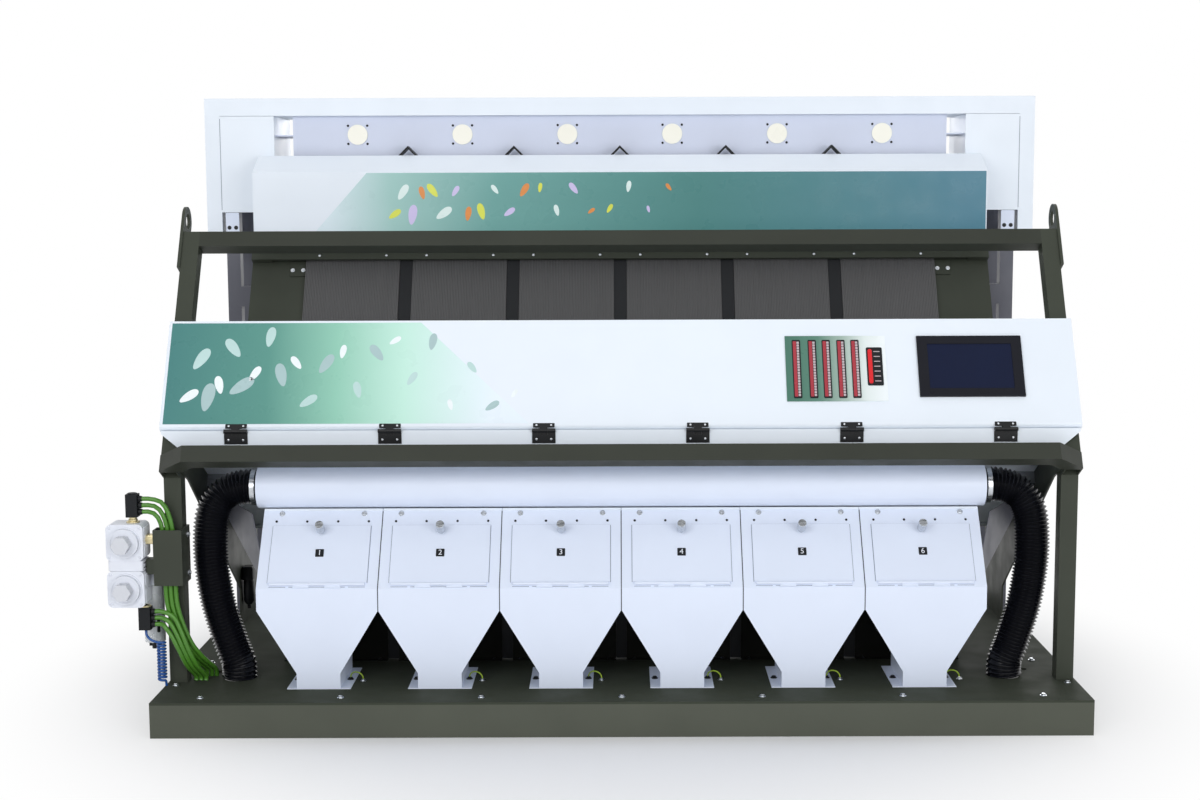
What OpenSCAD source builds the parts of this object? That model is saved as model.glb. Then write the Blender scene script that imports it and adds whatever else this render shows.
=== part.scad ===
// Optical colour sorter with six lanes. Sizes in mm, x to the right, y to the rear, z up.
// Grain falls from the feed hopper over feeder trays and ribbed chutes, past cameras, into the outlets.

/* [Base] */
// Width of the base
base_w = 2400; // [2300:10:2500]
// Depth of the base
base_d = 1250; // [1250:5:1320]
// Height of the base
base_h = 92; // [80:1:110]
// Thickness of the base's top plate
base_plate = 6; // [4:0.5:8]
// Thickness of the base's skirt and ribs
skirt_t = 5; // [3:0.5:8]

/* [Frame] */
// Outer size of the square frame tube
tube = 45; // [42:1:46]
// Wall of the square frame tube
tube_wall = 3; // [2:0.5:4]
// Lean of the sorting deck from upright, degrees
tilt = 28.5; // [28.2:0.1:28.8]
// Distance of the front posts behind the base's front edge
post_d = 195; // [190:1:198]
// Length of the leaning rails above the cover's hinge line
rail_t = 590; // [570:5:610]
// Thickness of the side plates
side_t = 5; // [4:0.5:6]
// Hole radius of the lifting lugs
lug_hole_r = 21; // [16:0.5:24]
// Thickness of the lifting lugs
lug_t = 8; // [6:0.5:10]
// Size of the square hood legs
leg = 40; // [36:1:44]

/* [Control cover] */
// Height of the cover's hinge line above the base plate
hinge_h = 677; // [660:1:700]
// Height of the cover along its slope
cover_h = 308; // [300:1:316]
// Depth of the cover's folded edge
cover_d = 25; // [22:0.5:25]
// Fold radius along the cover's lower edge
cover_r = 12; // [8:0.5:14]
// Width of the screen's bezel
bezel_w = 276; // [260:1:300]
// Height of the screen's bezel
bezel_h = 173; // [160:1:180]
// Width of a cover hinge
hinge_w = 60; // [50:1:70]

/* [Lanes] */
// Distance of the outer lanes from the base's ends
lane_margin = 252; // [250:1:260]
// Gap between two ribbed chutes
chute_gap = 38; // [34:1:46]
// Number of channels in a chute
channels = 60; // [40:1:64]
// Depth of a chute's channels
channel_h = 1.5; // [1:0.1:2]
// Length of the chutes
chute_l = 525; // [515:5:530]
// Gap between two feeder trays
tray_gap = 16; // [12:1:36]
// Height of a feeder tray's side
tray_h = 55; // [40:1:60]

/* [Outlet hoppers] */
// Sheet thickness of hoppers, covers and housings
sheet = 2; // [1.5:0.1:2.5]
// Width of a hopper's outlet neck
neck_w = 114; // [100:1:130]
// Height of a hopper's inclined front
slope_h = 186; // [180:1:190]
// Space beside an inspection door
door_side = 29; // [24:1:38]
// Height of an inspection door
door_h = 166; // [156:1:172]
// Radius of a door's hinge pin
pin_r = 2; // [1.6:0.1:2.4]
// Radius of a door's pull knob
pull_r = 11; // [8:0.5:13]

/* [Hood] */
// How far the hood stands out beyond each end of the base
hood_over = 45; // [40:1:60]
// Height of the hood
hood_h = 423; // [410:1:440]
// Depth of the feeder cover in front of the hood
cap_depth = 150; // [140:1:160]
// Radius of a sight window
sight_r = 26; // [20:0.5:30]

/* [Air and dust] */
// Outer radius of the dust duct
duct_r = 57; // [52:0.5:57]
// Outer radius of the corrugated hoses
hose_r = 46.5; // [42:0.5:47]
// Width of a regulator body
reg_w = 96; // [88:1:98]
// Radius of a regulator knob's corners
knob_r = 24; // [18:0.5:28]
// Radius of the filter bowl
bowl_r = 27; // [22:0.5:29]

/* [Hidden] */
$fn = 48;
// Gap between pieces that move past each other
run_gap = 0.3;
// Radial gap of a shaft in its bore
bore_gap = 0.05;
// Gap between fixed pieces that are bolted together
seat_gap = 0.1;
// Overlap that keeps cuts open
cut = 1;

lanes = 6;
pitch = (base_w - 2 * lane_margin) / lanes;
lanes_x = lanes * pitch / 2;
frame_x = base_w / 2 - 5;
rail_x = frame_x - tube;
plate_x = rail_x - side_t;
bay_x = plate_x - seat_gap;

// Deck positions: v goes into the machine from the cover's face, t goes up the slope
hinge_d = 184;
rail_v = cover_d + 1;
rail_end_v = rail_v + tube;
beam_t = -109;
beam_v = -52;
lip_v = 2;
lip_t = -6;
lip_h = 50;
chute_v = 405;
chute_t = 200;
chute_w = pitch - chute_gap;
chute_deep = 15;
bed_v = chute_v + chute_deep;
bed_t = 5;
bed_in = 110;
bed_w = base_w - 2 * bed_in;
bed_edge = 10;
bed_top = chute_t + chute_l + bed_edge;
bed_flange = 45;
clamp_t = 8;
clamp_w = 35;
box_v = chute_v - 75;
box_t = cover_h - 2;
rear_v = bed_v + 92;
rear_depth = 228;
rear_end_v = rear_v + rear_depth;
rear_t = -20;
rear_top_t = 250;
rear_fold = 25;

// Side plates: corners as distances behind the base's front edge and heights against the hinge line
side_low_d = 262;
side_low_h = -146;
side_front_h = -102;
side_front_back = 20;
side_top_h = 216;
side_top_front = 152;
side_top_d = 905;
side_rear_d = 1100;
side_rear_h = -77;
side_foot_d = 848;
side_foot_h = 106;

// Control cover details
cover_w = base_w;
axis_gap = 5.7;
hinge_r = 5.5;
hinge_pin_r = 3;
hinge_step = base_w / lanes;
hinge_drop = 34;
bezel_in = 417;
bezel_x = base_w / 2 - bezel_in;
bezel_t = 83;
bezel_d = 6;
screen_x = 27;
screen_t = 23;
level_in = 765;
level_x = base_w / 2 - level_in;
level_w = 265;
level_t = 72;
level_h = 186;

// Sorting zone details
window_over = 22;
window_w = 2 * (lanes_x + window_over);
window_t = 60;
window_h = 140;
window_edge = 10;
glass = 5;
lamp_r = 14;
lamp_back = 40;
lamp_low_t = 40;
lamp_top_t = 220;
guide_r = 8;
guide_t = 212;
wiper_w = 20;
wiper_x = -window_w / 2 - 30;
camera_w = 60;
camera_l = 90;
camera_t = 100;
camera_back = 180;
camera_rear = 70;
lens_r = 20;
lens_l = 40;
camera_foot = 50;
manifold = 60;
manifold_wall = 4;

// Outlet hoppers, as distances behind the base's front edge and heights above its plate
hop_d = 125;
hop_gap = 0.5;
hop_depth = 415;
slope_d = 142;
rim_drop = 225;
rim_d = hop_d + slope_d;
rim_h = hinge_h - rim_drop;
front_h = rim_h - slope_h;
shoulder = 58;
wide_h = front_h - shoulder;
hop_rear = hop_d + hop_depth;
hop_rear_drop = 44;
hop_rear_h = rim_h - hop_rear_drop;
neck_depth = 205;
neck_d = hop_d + neck_depth;
neck_rear_drop = 110;
neck_rear_h = wide_h - neck_rear_drop;
neck_h = 42;
foot_w = 26;
foot_bolt_d = 88;
foot_bolt_r = 3.3;
flare_back = 75;
flare_d = hop_d + flare_back;
flare_l = 333;
flare_turn = 63.6;
flare_flange = 40;
flare_rise = 9;
flare_low = front_h + flare_rise;
flare_drop = 12;
flare_top = rim_h - flare_drop;
rej_gap = 90;
rej_d = neck_d + rej_gap;
rej_depth = 140;
rej_rear = rej_d + rej_depth;
rej_kink_drop = 10;
rej_kink_h = wide_h - rej_kink_drop;
rej_mouth_back = 130;
rej_mouth_d = rej_d + rej_mouth_back;
rej_mouth = 62;
rej_mouth_end = rej_mouth_d + rej_mouth;
rej_drop = 52;
rej_top = rim_h - rej_drop;
rej_side = 15;
rej_w = pitch - 2 * rej_side;
rej_foot = 13;
rej_bolt_in = 21;
panel_tilt = atan(slope_d / slope_h);
door_w = pitch - 2 * door_side;
door_t = 17;
door_axis_t = 12;
knuckle_r = pin_r + 2;
door_sheet = 3;
door_axis_v = -knuckle_r - run_gap;
pull_l = 45;

// Feeder and hood
hood_d = 985;
hood_w = base_w + 2 * hood_over;
hood_depth = 262;
hood_bar = 52;
hood_strip = 45;
tray_w = pitch - tray_gap;
tray_d = hood_d - 115;
tray_end = hood_d + 205;
tray_drop = 12;
tray_floor = round(hinge_h - chute_v * sin(tilt) + (chute_t + chute_l) * cos(tilt)) + tray_drop;
beam_d = hood_d + 5;
beam_h = tray_floor - 185;
beam_size = 60;
beam_wall = 4;
magnet_w = 120;
magnet_l = 90;
magnet_h = 90;
spring_w = 80;
spring_t = 4;
spring_foot = 20;
cap_d = hood_d - cap_depth;
cap_low = tray_floor + 27;
cap_face = cap_low + 189;
cap_bevel = 100;
cap_top = cap_face + cap_bevel / 2;
cap_in = 125;
cap_w = base_w - 2 * cap_in;
hood_low = tray_floor + 15;
hood_top = hood_low + hood_h;
end_low = hood_low + 84;
end_top = hood_top - hood_bar - 1;
wall_d = hood_d + 25;
wall_end = hood_d + hood_depth - hood_strip - 1;
feed_over = 37;
feed_w = 2 * (lanes_x + feed_over);
feed_top = hood_top - hood_bar - seat_gap;
feed_low = tray_floor + 75;
feed_kink = feed_low + 150;
slot_d = hood_d + 100;
slot_end = slot_d + 80;
end_gap = 53;
end_x = feed_w / 2 + end_gap;
sight_h = hood_top - 108;
sight_t = 5;
sight_rim = 4;
leg_x = rail_x + seat_gap;
leg_in = 5;
leg_out = 12;
divider_h = 28;
divider_t = 7.5;

// Dust duct
duct_d = rim_d + 23;
duct_h = hinge_h - 169;
duct_over = 17;
duct_l = 2 * (lanes_x + duct_over);
duct_end = 3;
strap_x = 700;
strap_w = 40;
strap_d = 6;
clamp_over = 2.5;
clamp_l = 12;
port_x = base_w / 2 - 178;
port_d = duct_d - 46;
port_lip = 6;
oval_x = base_w / 2 - 124;
oval_d = 300;
oval_r = 10;
oval_l = 20;

// Air unit, as distances from the outer face of the left post
reg_x = -90;
reg_d = 130;
reg_depth = 70;
reg_low = 265;
reg_high = 388;
reg_corner = 14;
neck_r = 20;
boss_r = 38;
boss_l = 12;
knob_l = 33;
stem_r = 10;
stem_l = 15;
bracket_x = -22;
bracket_end = 53;
bracket_d = 150;
bracket_low = 270;
bracket_high = 417;
bracket_t = 3;
arm_d = 30;
arm_h = 40;
bowl_x = -45;
bowl_d = 231;
bowl_low = 105;
bowl_high = 262;
bowl_wall = 3;
bowl_arm = 70;
drain_r = 4;
fitting_w = 30;
fitting_h = 60;
fitting_d = 165;
fitting_step = 17;
nipple_r = 8;
nipple_l = 16;
air_r = 6;
coil_r = 13;

// Hose route from the end of a duct that is 290 back and 508 up, right side, measured from the outer lane
hose_d = 290;
hose_h = 508;
hose_route = [
    [17.2, 290, 508], [62, 290, 508], [107, 285, 492], [134, 276, 455], [145, 268, 400],
    [144, 260, 310], [126, 252, 200], [92, 246, 90], [74, 244, 40], [74, 244, 0.2]
];
// Tube routes from the middle port of the top and the bottom fitting
top_route = [
    [-51, 165, 481], [-33, 165, 481], [-11, 167, 474], [5, 170, 446], [13, 171, 400],
    [15, 172, 310], [19, 173, 210], [47, 177, 120], [73, 198, 70], [93, 248, 28],
    [95, 262, 14], [95, 262, 0.2]
];
low_route = [
    [-27, 165, 182], [-9, 165, 182], [13, 158, 172], [31, 156, 140], [47, 158, 100],
    [63, 172, 55], [77, 212, 14], [77, 212, 0.2]
];
// How the neighbouring tubes fan out from their ports
fan_x = [0, 0, 11, 13];
fan_h = [17, 17, 14, 5, 0];
// Coiled hose: its outer form, and the tail that leads to it
coil_route = [[-12, 165, 120], [-12, 165, 60], [-12, 165, 0.2]];
tail_route = [[-51, 165, 152], [-51, 165, 142], [-37, 165, 130], [-12, 165, 124], [-12, 165, 118]];

// Placing helpers

// Origin at the base's front edge, on top of its plate
module site() translate([0, -base_d / 2, base_h]) children();

// Air unit: origin on the outer face of the left post
module air_site() site() translate([-frame_x, 0, 0]) children();

// Sorting deck: origin on the cover's hinge line
module deck() site() translate([0, hinge_d, hinge_h]) rotate([-tilt, 0, 0]) children();

// Inclined front of one hopper: origin on the kink line, inside faces positive
module panel() site() translate([0, hop_d, front_h]) rotate([-panel_tilt, 0, 0]) children();

module lane(i) translate([(i - (lanes - 1) / 2) * pitch, 0, 0]) children();

module each_lane() for (i = [0 : lanes - 1]) lane(i) children();

module each_gap() for (i = [1 : lanes - 1]) lane(i - 0.5) children();

module both() {
    children();
    mirror([1, 0, 0]) children();
}

// Box between two corners
module block(a, b) translate(a) cube(b - a);

// Flat outline in depth and height, drawn out along x
module run_x(l) rotate([90, 0, 90]) linear_extrude(l, center = true) children();

// Flat outline in x and height, drawn out along depth
module run_y(a, b) translate([0, b, 0]) rotate([90, 0, 0]) linear_extrude(b - a) children();

// Rod along x between two positions
module rod(x0, x1, r) translate([x0, 0, 0]) rotate([0, 90, 0]) cylinder(r = r, h = x1 - x0);

// Tube swept along route points
function unit(v) = v / norm(v);
function along(p, i) = unit(p[min(i + 1, len(p) - 1)] - p[max(i - 1, 0)]);
function ring(c, t, side, r, n) =
    let (a = unit(cross(side, t)), b = cross(t, a))
    [for (k = [0 : n - 1]) c + r * (cos(360 * k / n) * a + sin(360 * k / n) * b)];
function skin(m, n) = [
    for (i = [0 : m - 2], k = [0 : n - 1])
        let (j = (k + 1) % n)
        each [
            [i * n + k, (i + 1) * n + k, (i + 1) * n + j],
            [i * n + k, (i + 1) * n + j, i * n + j]
        ]
];
module sweep(p, r, n, side) {
    m = len(p);
    points = [for (i = [0 : m - 1]) each ring(p[i], along(p, i), side, r, n)];
    first = [for (k = [0 : n - 1]) k];
    last = [for (k = [n - 1 : -1 : 0]) (m - 1) * n + k];
    polyhedron(points, concat(skin(m, n), [first, last]));
}

// Base and frame

// Skirt with three ribs that stand between lanes
module base_frame() {
    color("#4a4e2c") difference() {
        translate([-base_w / 2, -base_d / 2, 0]) cube([base_w, base_d, base_h - base_plate]);
        for (i = [0 : 3]) base_bay(i);
    }
}

module base_bay(i) {
    edges = [-base_w / 2 + skirt_t / 2, -2 * pitch, 0, 2 * pitch, base_w / 2 - skirt_t / 2];
    translate([edges[i] + skirt_t / 2, -base_d / 2 + skirt_t, -cut])
        cube([edges[i + 1] - edges[i] - skirt_t, base_d - 2 * skirt_t, base_h + 2 * cut]);
}

module base_top() {
    color("#4a4e2c") site() difference() {
        block([-base_w / 2, 0, -base_plate], [base_w / 2, base_d, 0]);
        each_lane() {
            base_opening(neck_w, hop_d, neck_d);
            base_opening(rej_w, rej_d, rej_rear);
        }
        both() {
            translate([port_x, port_d, -base_plate - cut])
                cylinder(r = hose_r - port_lip, h = base_plate + 2 * cut);
            for (s = [-1, 1])
                translate([oval_x + s * oval_l / 2, oval_d, -base_plate - cut])
                    cylinder(r = oval_r, h = base_plate + 2 * cut);
            block(
                [oval_x - oval_l / 2, oval_d - oval_r, -base_plate - cut],
                [oval_x + oval_l / 2, oval_d + oval_r, cut]
            );
        }
    }
}

// Opening of the base's plate under a hopper of width w that stands between two depths
module base_opening(w, d0, d1) {
    x = w / 2 - sheet;
    block([-x, d0 + sheet, -base_plate - cut], [x, d1 - sheet, cut]);
}

// Upright tubes under the rails, cut along the rails' rear faces
module front_posts() {
    color("#4a4e2c") difference() {
        site() both() difference() {
            block([rail_x, post_d, 0], [frame_x, post_d + tube, hinge_h]);
            block(
                [rail_x + tube_wall, post_d + tube_wall, -cut],
                [frame_x - tube_wall, post_d + tube - tube_wall, hinge_h + cut]
            );
        }
        deck() block([-base_w, -hinge_h, -hinge_h], [base_w, rail_end_v, hinge_h]);
    }
}

module hood_legs() {
    places = [hood_d + leg_in, hood_d + hood_depth - leg - leg_out];
    color("#c9c7d0") site() both() for (d = places) difference() {
        block([leg_x, d, 0], [leg_x + leg, d + leg, end_low]);
        block(
            [leg_x + tube_wall, d + tube_wall, -cut],
            [leg_x + leg - tube_wall, d + leg - tube_wall, end_low - 4]
        );
    }
}

// Guard beam: straight in front, bent at 45 degrees back to the rails
function beam_outline(g) =
    let (
        run = rail_v - 6 - beam_v,
        bend = (tube - 2 * g) * tan(22.5),
        outer = frame_x - run - g * tan(22.5),
        inner = outer - bend,
        rise = rail_v - beam_v - tube + g
    )
    [
        [-inner, beam_v + tube - g], [-inner - rise, rail_v], [-inner - rise, rail_v + (g > 0 ? cut : 0)],
        [-frame_x + g, rail_v + (g > 0 ? cut : 0)], [-frame_x + g, rail_v - 6 + g * tan(22.5)],
        [-outer, beam_v + g], [outer, beam_v + g], [frame_x - g, rail_v - 6 + g * tan(22.5)],
        [frame_x - g, rail_v + (g > 0 ? cut : 0)], [inner + rise, rail_v + (g > 0 ? cut : 0)],
        [inner + rise, rail_v], [inner, beam_v + tube - g]
    ];

module front_beam() {
    color("#4a4e2c") deck() difference() {
        translate([0, 0, beam_t]) linear_extrude(tube) polygon(beam_outline(0));
        translate([0, 0, beam_t + tube_wall])
            linear_extrude(tube - 2 * tube_wall) polygon(beam_outline(tube_wall));
    }
}

module rails() {
    color("#4a4e2c") deck() both() difference() {
        block([rail_x, rail_v, beam_t], [frame_x, rail_end_v, rail_t]);
        block(
            [rail_x + tube_wall, rail_v + tube_wall, beam_t - cut],
            [frame_x - tube_wall, rail_end_v - tube_wall, rail_t - tube_wall]
        );
    }
}

module crossbar() {
    color("#4a4e2c") deck() difference() {
        block([-rail_x, rail_v, rail_t - tube], [rail_x, rail_end_v, rail_t]);
        block(
            [-rail_x - cut, rail_v + tube_wall, rail_t - tube + tube_wall],
            [rail_x + cut, rail_end_v - tube_wall, rail_t - tube_wall]
        );
    }
}

module lifting_lugs() {
    color("#4a4e2c") deck() both() translate([frame_x + lug_t / 2, rail_v + 35, rail_t]) difference() {
        run_x(lug_t) {
            translate([-40, -110]) square([80, 160]);
            translate([0, 50]) circle(40);
        }
        translate([-lug_t, 0, 50]) rod(0, 2 * lug_t, lug_hole_r);
    }
}

module side_plates() {
    color("#4a4e2c") site() both() translate([plate_x + side_t / 2, 0, 0]) run_x(side_t) polygon([
        [hinge_d - side_front_back, hinge_h + side_front_h], [hinge_d + side_top_front, hinge_h + side_top_h],
        [side_top_d, hinge_h + side_top_h], [side_rear_d, hinge_h + side_rear_h], [side_rear_d, 0],
        [side_foot_d, 0], [side_foot_d, side_foot_h], [side_low_d, hinge_h + side_low_h]
    ]);
}

// Chutes

module chute_bed() {
    color("#4a4e2c") deck() {
        block([-bed_w / 2, bed_v, chute_t], [bed_w / 2, bed_v + bed_t, bed_top]);
        both() {
            block([bed_w / 2 - bed_t, bed_v, chute_t], [bed_w / 2, bed_v + bed_flange, bed_top]);
            block([bed_w / 2 - bed_t, bed_v, chute_t + 30], [bay_x, bed_v + bed_t, chute_t + 230]);
            block([bay_x - 4, bed_v, chute_t + 30], [bay_x, bed_v + 40, chute_t + 230]);
        }
    }
}

// Upper face is a row of V channels
function channel_edge() = [
    for (i = [0 : channels])
        let (w = chute_w / channels, x = -chute_w / 2 + i * w)
        each i < channels ? [[x, 0], [x + w / 2, channel_h]] : [[x, 0]]
];
module chute() linear_extrude(chute_l)
    polygon(concat(channel_edge(), [[chute_w / 2, bed_v - chute_v], [-chute_w / 2, bed_v - chute_v]]));

module chutes() {
    color("#53565c") deck() each_lane() translate([0, chute_v, chute_t]) chute();
}

module gap_strips() {
    color("#17181a") deck() each_gap() {
        strip_w = pitch - chute_w - 2;
        block([-strip_w / 2, chute_v + 2, chute_t], [strip_w / 2, bed_v, chute_t + chute_l - clamp_w - 1]);
    }
}

module clamp_rail() {
    color("#4a4e2c") deck() {
        low = chute_t + chute_l - clamp_w;
        block([-bed_w / 2, chute_v - clamp_t, low], [bed_w / 2, chute_v, low + clamp_w]);
        both() block([bed_w / 2 - 60, chute_v - cut, low], [bed_w / 2, bed_v, low + clamp_w]);
    }
}

// Camera housings

module front_box() {
    color("#e9e9e6") {
        deck() difference() {
            union() {
                block([-bay_x, rail_v, lip_t], [bay_x, box_v, box_t]);
                block([-frame_x, lip_v, lip_t], [frame_x, rail_v - run_gap, lip_t + sheet]);
                block([-rail_x + 6, lip_v, lip_t], [rail_x - 6, rail_v + cut, lip_t + sheet]);
            }
            block(
                [-bay_x + sheet, rail_v - cut, lip_t + sheet],
                [bay_x - sheet, box_v - sheet, box_t - sheet]
            );
            block(
                [-window_w / 2 + window_edge, 0, window_t + window_edge],
                [window_w / 2 - window_edge, box_v + cut, window_t + window_h - window_edge]
            );
        }
        lip();
    }
}

// Upright strip under the cover, trimmed at its ends to clear the rails
module lip() site() {
    y = lip_y();
    z = hinge_h - lip_v * sin(tilt) + (lip_t + sheet) * cos(tilt);
    run_y(y, y + sheet) polygon([
        [-frame_x, z], [frame_x, z], [frame_x, z - 8], [rail_x - 5, z - lip_h], [-rail_x + 5, z - lip_h],
        [-frame_x, z - 8]
    ]);
}
function lip_y() = hinge_d + lip_v * cos(tilt) + lip_t * sin(tilt);

module rear_box() {
    color("#e9e9e6") deck() difference() {
        block([-bay_x, rear_v, rear_t], [bay_x, rear_end_v, rear_top_t]);
        block(
            [-bay_x + sheet, rear_v + sheet, rear_t + sheet],
            [bay_x - sheet, rear_end_v + cut, rear_top_t - sheet]
        );
        block(
            [-window_w / 2 + window_edge, rear_v - cut, window_t + window_edge],
            [window_w / 2 - window_edge, rear_v + sheet + cut, window_t + window_h - window_edge]
        );
    }
}

module rear_cover() {
    color("#e9e9e6") deck() difference() {
        block(
            [-bay_x, rear_end_v, rear_t - 2 * sheet],
            [bay_x, rear_end_v + rear_fold, rear_top_t + 2 * sheet]
        );
        block(
            [-bay_x + sheet, rear_end_v - cut, rear_t - sheet],
            [bay_x - sheet, rear_end_v + rear_fold - sheet, rear_top_t + sheet]
        );
    }
}

module windows() {
    color("#bcd6dd") deck() for (v = [box_v, rear_v - glass])
        block([-window_w / 2, v, window_t], [window_w / 2, v + glass, window_t + window_h]);
}

// One camera looks along +v from its foot on the housing floor
module camera(floor_t) {
    block([-camera_w / 2, -camera_l / 2, camera_t], [camera_w / 2, camera_l / 2, camera_t + camera_w]);
    translate([0, camera_l / 2 - cut, camera_t + camera_w / 2])
        rotate([-90, 0, 0]) cylinder(r = lens_r, h = lens_l);
    block([-camera_foot / 2, -camera_foot / 2, floor_t], [camera_foot / 2, camera_foot / 2, camera_t + cut]);
}

module cameras() {
    color("#2b2d31") deck() each_lane() {
        translate([0, box_v - camera_back, 0]) camera(lip_t + sheet);
        translate([0, rear_end_v - camera_rear, 0]) mirror([0, 1, 0]) camera(rear_t + sheet);
    }
}

module lamp_bars() {
    color("#f4f1de") deck() for (v = [box_v - lamp_back, rear_v + lamp_back], t = [lamp_low_t, lamp_top_t])
        translate([0, v, t]) rod(-bay_x + sheet, bay_x - sheet, lamp_r);
}

module wiper_rails() {
    color("#b8bcc2") deck() for (v = [box_v + glass + 12, rear_v - glass - 12])
        translate([0, v, guide_t]) rod(-bay_x, bay_x, guide_r);
}

// Squeegee that hangs from its rail, facing the glass
module wiper() difference() {
    union() {
        rod(-wiper_w, wiper_w, guide_r + 4);
        block([-wiper_w / 2, -12 + run_gap, window_t - guide_t], [wiper_w / 2, -4, -guide_r]);
    }
    rod(-wiper_w - cut, wiper_w + cut, guide_r + bore_gap);
}

module wipers() {
    color("#2f6f5e") deck() {
        translate([wiper_x, box_v + glass + 12, guide_t]) wiper();
        translate([wiper_x, rear_v - glass - 12, guide_t]) mirror([0, 1, 0]) wiper();
    }
}

module air_manifold() {
    color("#9da1a6") deck() difference() {
        block([-bay_x, box_v + 2, 15 - manifold], [bay_x, box_v + 2 + manifold, 15]);
        block(
            [-bay_x - cut, box_v + 2 + manifold_wall, 15 - manifold + manifold_wall],
            [bay_x + cut, box_v + 2 + manifold - manifold_wall, 15 - manifold_wall]
        );
    }
}

module ejector_valves() {
    color("#33363b") deck() each_lane() {
        block([-pitch / 2 + 8, box_v + 10, 15], [pitch / 2 - 8, box_v + 58, 45]);
        block([-chute_w / 2, box_v + 50, 28], [chute_w / 2, box_v + 70, 36]);
    }
}

// Control cover

module cover_profile(g) {
    translate([cover_r, g]) square([cover_d - cover_r + (g > 0 ? cut : 0), cover_h - 2 * g]);
    translate([g, cover_r]) square([cover_r, cover_h - cover_r - g]);
    translate([cover_r, cover_r]) circle(cover_r - g);
}

module front_cover() {
    color("#f1f2ef") deck() difference() {
        run_x(cover_w) cover_profile(0);
        run_x(cover_w - 2 * sheet) cover_profile(sheet);
    }
}

module screen_bezel() {
    color("#1d1e22") deck() translate([bezel_x, -bezel_d, bezel_t]) difference() {
        cube([bezel_w, bezel_d, bezel_h]);
        translate([screen_x, -cut, screen_t])
            cube([bezel_w - 2 * screen_x, bezel_d + 2 * cut, bezel_h - 2 * screen_t]);
    }
}

module screen_glass() {
    color("#0d1226") deck() translate([bezel_x + screen_x, -bezel_d + 2, bezel_t + screen_t])
        cube([bezel_w - 2 * screen_x, bezel_d - 2, bezel_h - 2 * screen_t]);
}

module level_panel() {
    color("#9fb5a6") deck() block([level_x, -3, level_t], [level_x + level_w, 0, level_t + level_h]);
}

// Hinge axis: in front of the lip, level with its upper edge
module hinge_axis() {
    site() translate([0, lip_y() - axis_gap, hinge_h + lip_t * cos(tilt)]) children();
}

module each_hinge()
    for (i = [0 : lanes - 1]) translate([(i - (lanes - 1) / 2) * hinge_step, 0, 0]) children();

module hinge_knuckles() {
    color("#1b1c1e") each_hinge() {
        hinge_axis() difference() {
            union() {
                rod(-hinge_w / 6, hinge_w / 6, hinge_r);
                rotate([-tilt, 0, 0]) block([-hinge_w / 6, -hinge_r, 0], [hinge_w / 6, 2, strap_t()]);
            }
            rod(-hinge_w, hinge_w, hinge_pin_r + bore_gap);
        }
        deck() block([-hinge_w / 6, -6, -2], [hinge_w / 6, cover_d - 2, 0]);
    }
}
// Height of the cover's lower face above the hinge axis, along the slope
function strap_t() =
    (hinge_d - lip_y() + axis_gap) * sin(tilt) - lip_t * cos(tilt) * cos(tilt);

module hinge_leaves() {
    color("#1b1c1e") each_hinge() hinge_axis() {
        for (s = [-1, 1])
            translate([s * (hinge_w / 3 + run_gap), 0, 0]) {
                rod(-hinge_w / 6, hinge_w / 6, hinge_r);
                block([-hinge_w / 6, axis_gap - 3, -hinge_drop], [hinge_w / 6, axis_gap, 0]);
            }
        block(
            [-hinge_w / 2 - run_gap, axis_gap - 3, -hinge_drop],
            [hinge_w / 2 + run_gap, axis_gap, -2 * hinge_r - 1]
        );
        rod(-hinge_w / 2, hinge_w / 2, hinge_pin_r);
    }
}

// Dust duct and hoses

module dust_duct() {
    color("#eceeee") difference() {
        site() translate([0, duct_d, duct_h]) difference() {
            union() {
                rod(-duct_l / 2, duct_l / 2, duct_r);
                for (x = [-strap_x, 0, strap_x])
                    block(
                        [x - strap_w / 2, -strap_d / 2, duct_r - 4],
                        [x + strap_w / 2, strap_d / 2, hinge_h - duct_h]
                    );
            }
            rod(-duct_l / 2 + duct_end, duct_l / 2 - duct_end, duct_r - sheet);
            rod(-duct_l, duct_l, hose_r - 8);
        }
        deck() block([-base_w, -base_d, lip_t], [base_w, base_d, base_d]);
    }
}

function hose_path() = [
    for (p = hose_route) [lanes_x + p.x, p.y + duct_d - hose_d, p.z * duct_h / hose_h]
];
module hose() site() sweep(hose_path(), hose_r, 12, [0, 1, 0]);

module duct_hose_left() color("#191a1c") mirror([1, 0, 0]) hose();

module duct_hose_right() color("#191a1c") hose();

module hose_clamps() {
    color("#b9bdc2") site() both() translate([0, duct_d, duct_h]) difference() {
        rod(duct_l / 2 + clamp_l / 2, duct_l / 2 + 1.5 * clamp_l, hose_r + clamp_over);
        rod(duct_l / 2, duct_l / 2 + 2 * clamp_l, hose_r + seat_gap);
    }
}

// Outlet hoppers

function front_form(g) = [
    [-neck_w / 2 + g, -cut * sign(g)], [neck_w / 2 - g, -cut * sign(g)], [neck_w / 2 - g, neck_h],
    [pitch / 2 - hop_gap - g, wide_h], [pitch / 2 - hop_gap - g, rim_h + cut * sign(g)],
    [-pitch / 2 + hop_gap + g, rim_h + cut * sign(g)], [-pitch / 2 + hop_gap + g, wide_h],
    [-neck_w / 2 + g, neck_h]
];
function side_form(g) = [
    [hop_d + g, -cut * sign(g)], [hop_d + g, front_h], [rim_d + g, rim_h], [rim_d + g, rim_h + cut * sign(g)],
    [hop_rear - g, hop_rear_h + 80 * sign(g)], [hop_rear - g, hop_rear_h], [neck_d - g, neck_rear_h],
    [neck_d - g, -cut * sign(g)]
];

module funnel(g) intersection() {
    run_x(2 * pitch) polygon(side_form(g));
    run_y(0, base_d) polygon(front_form(g));
}

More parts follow.
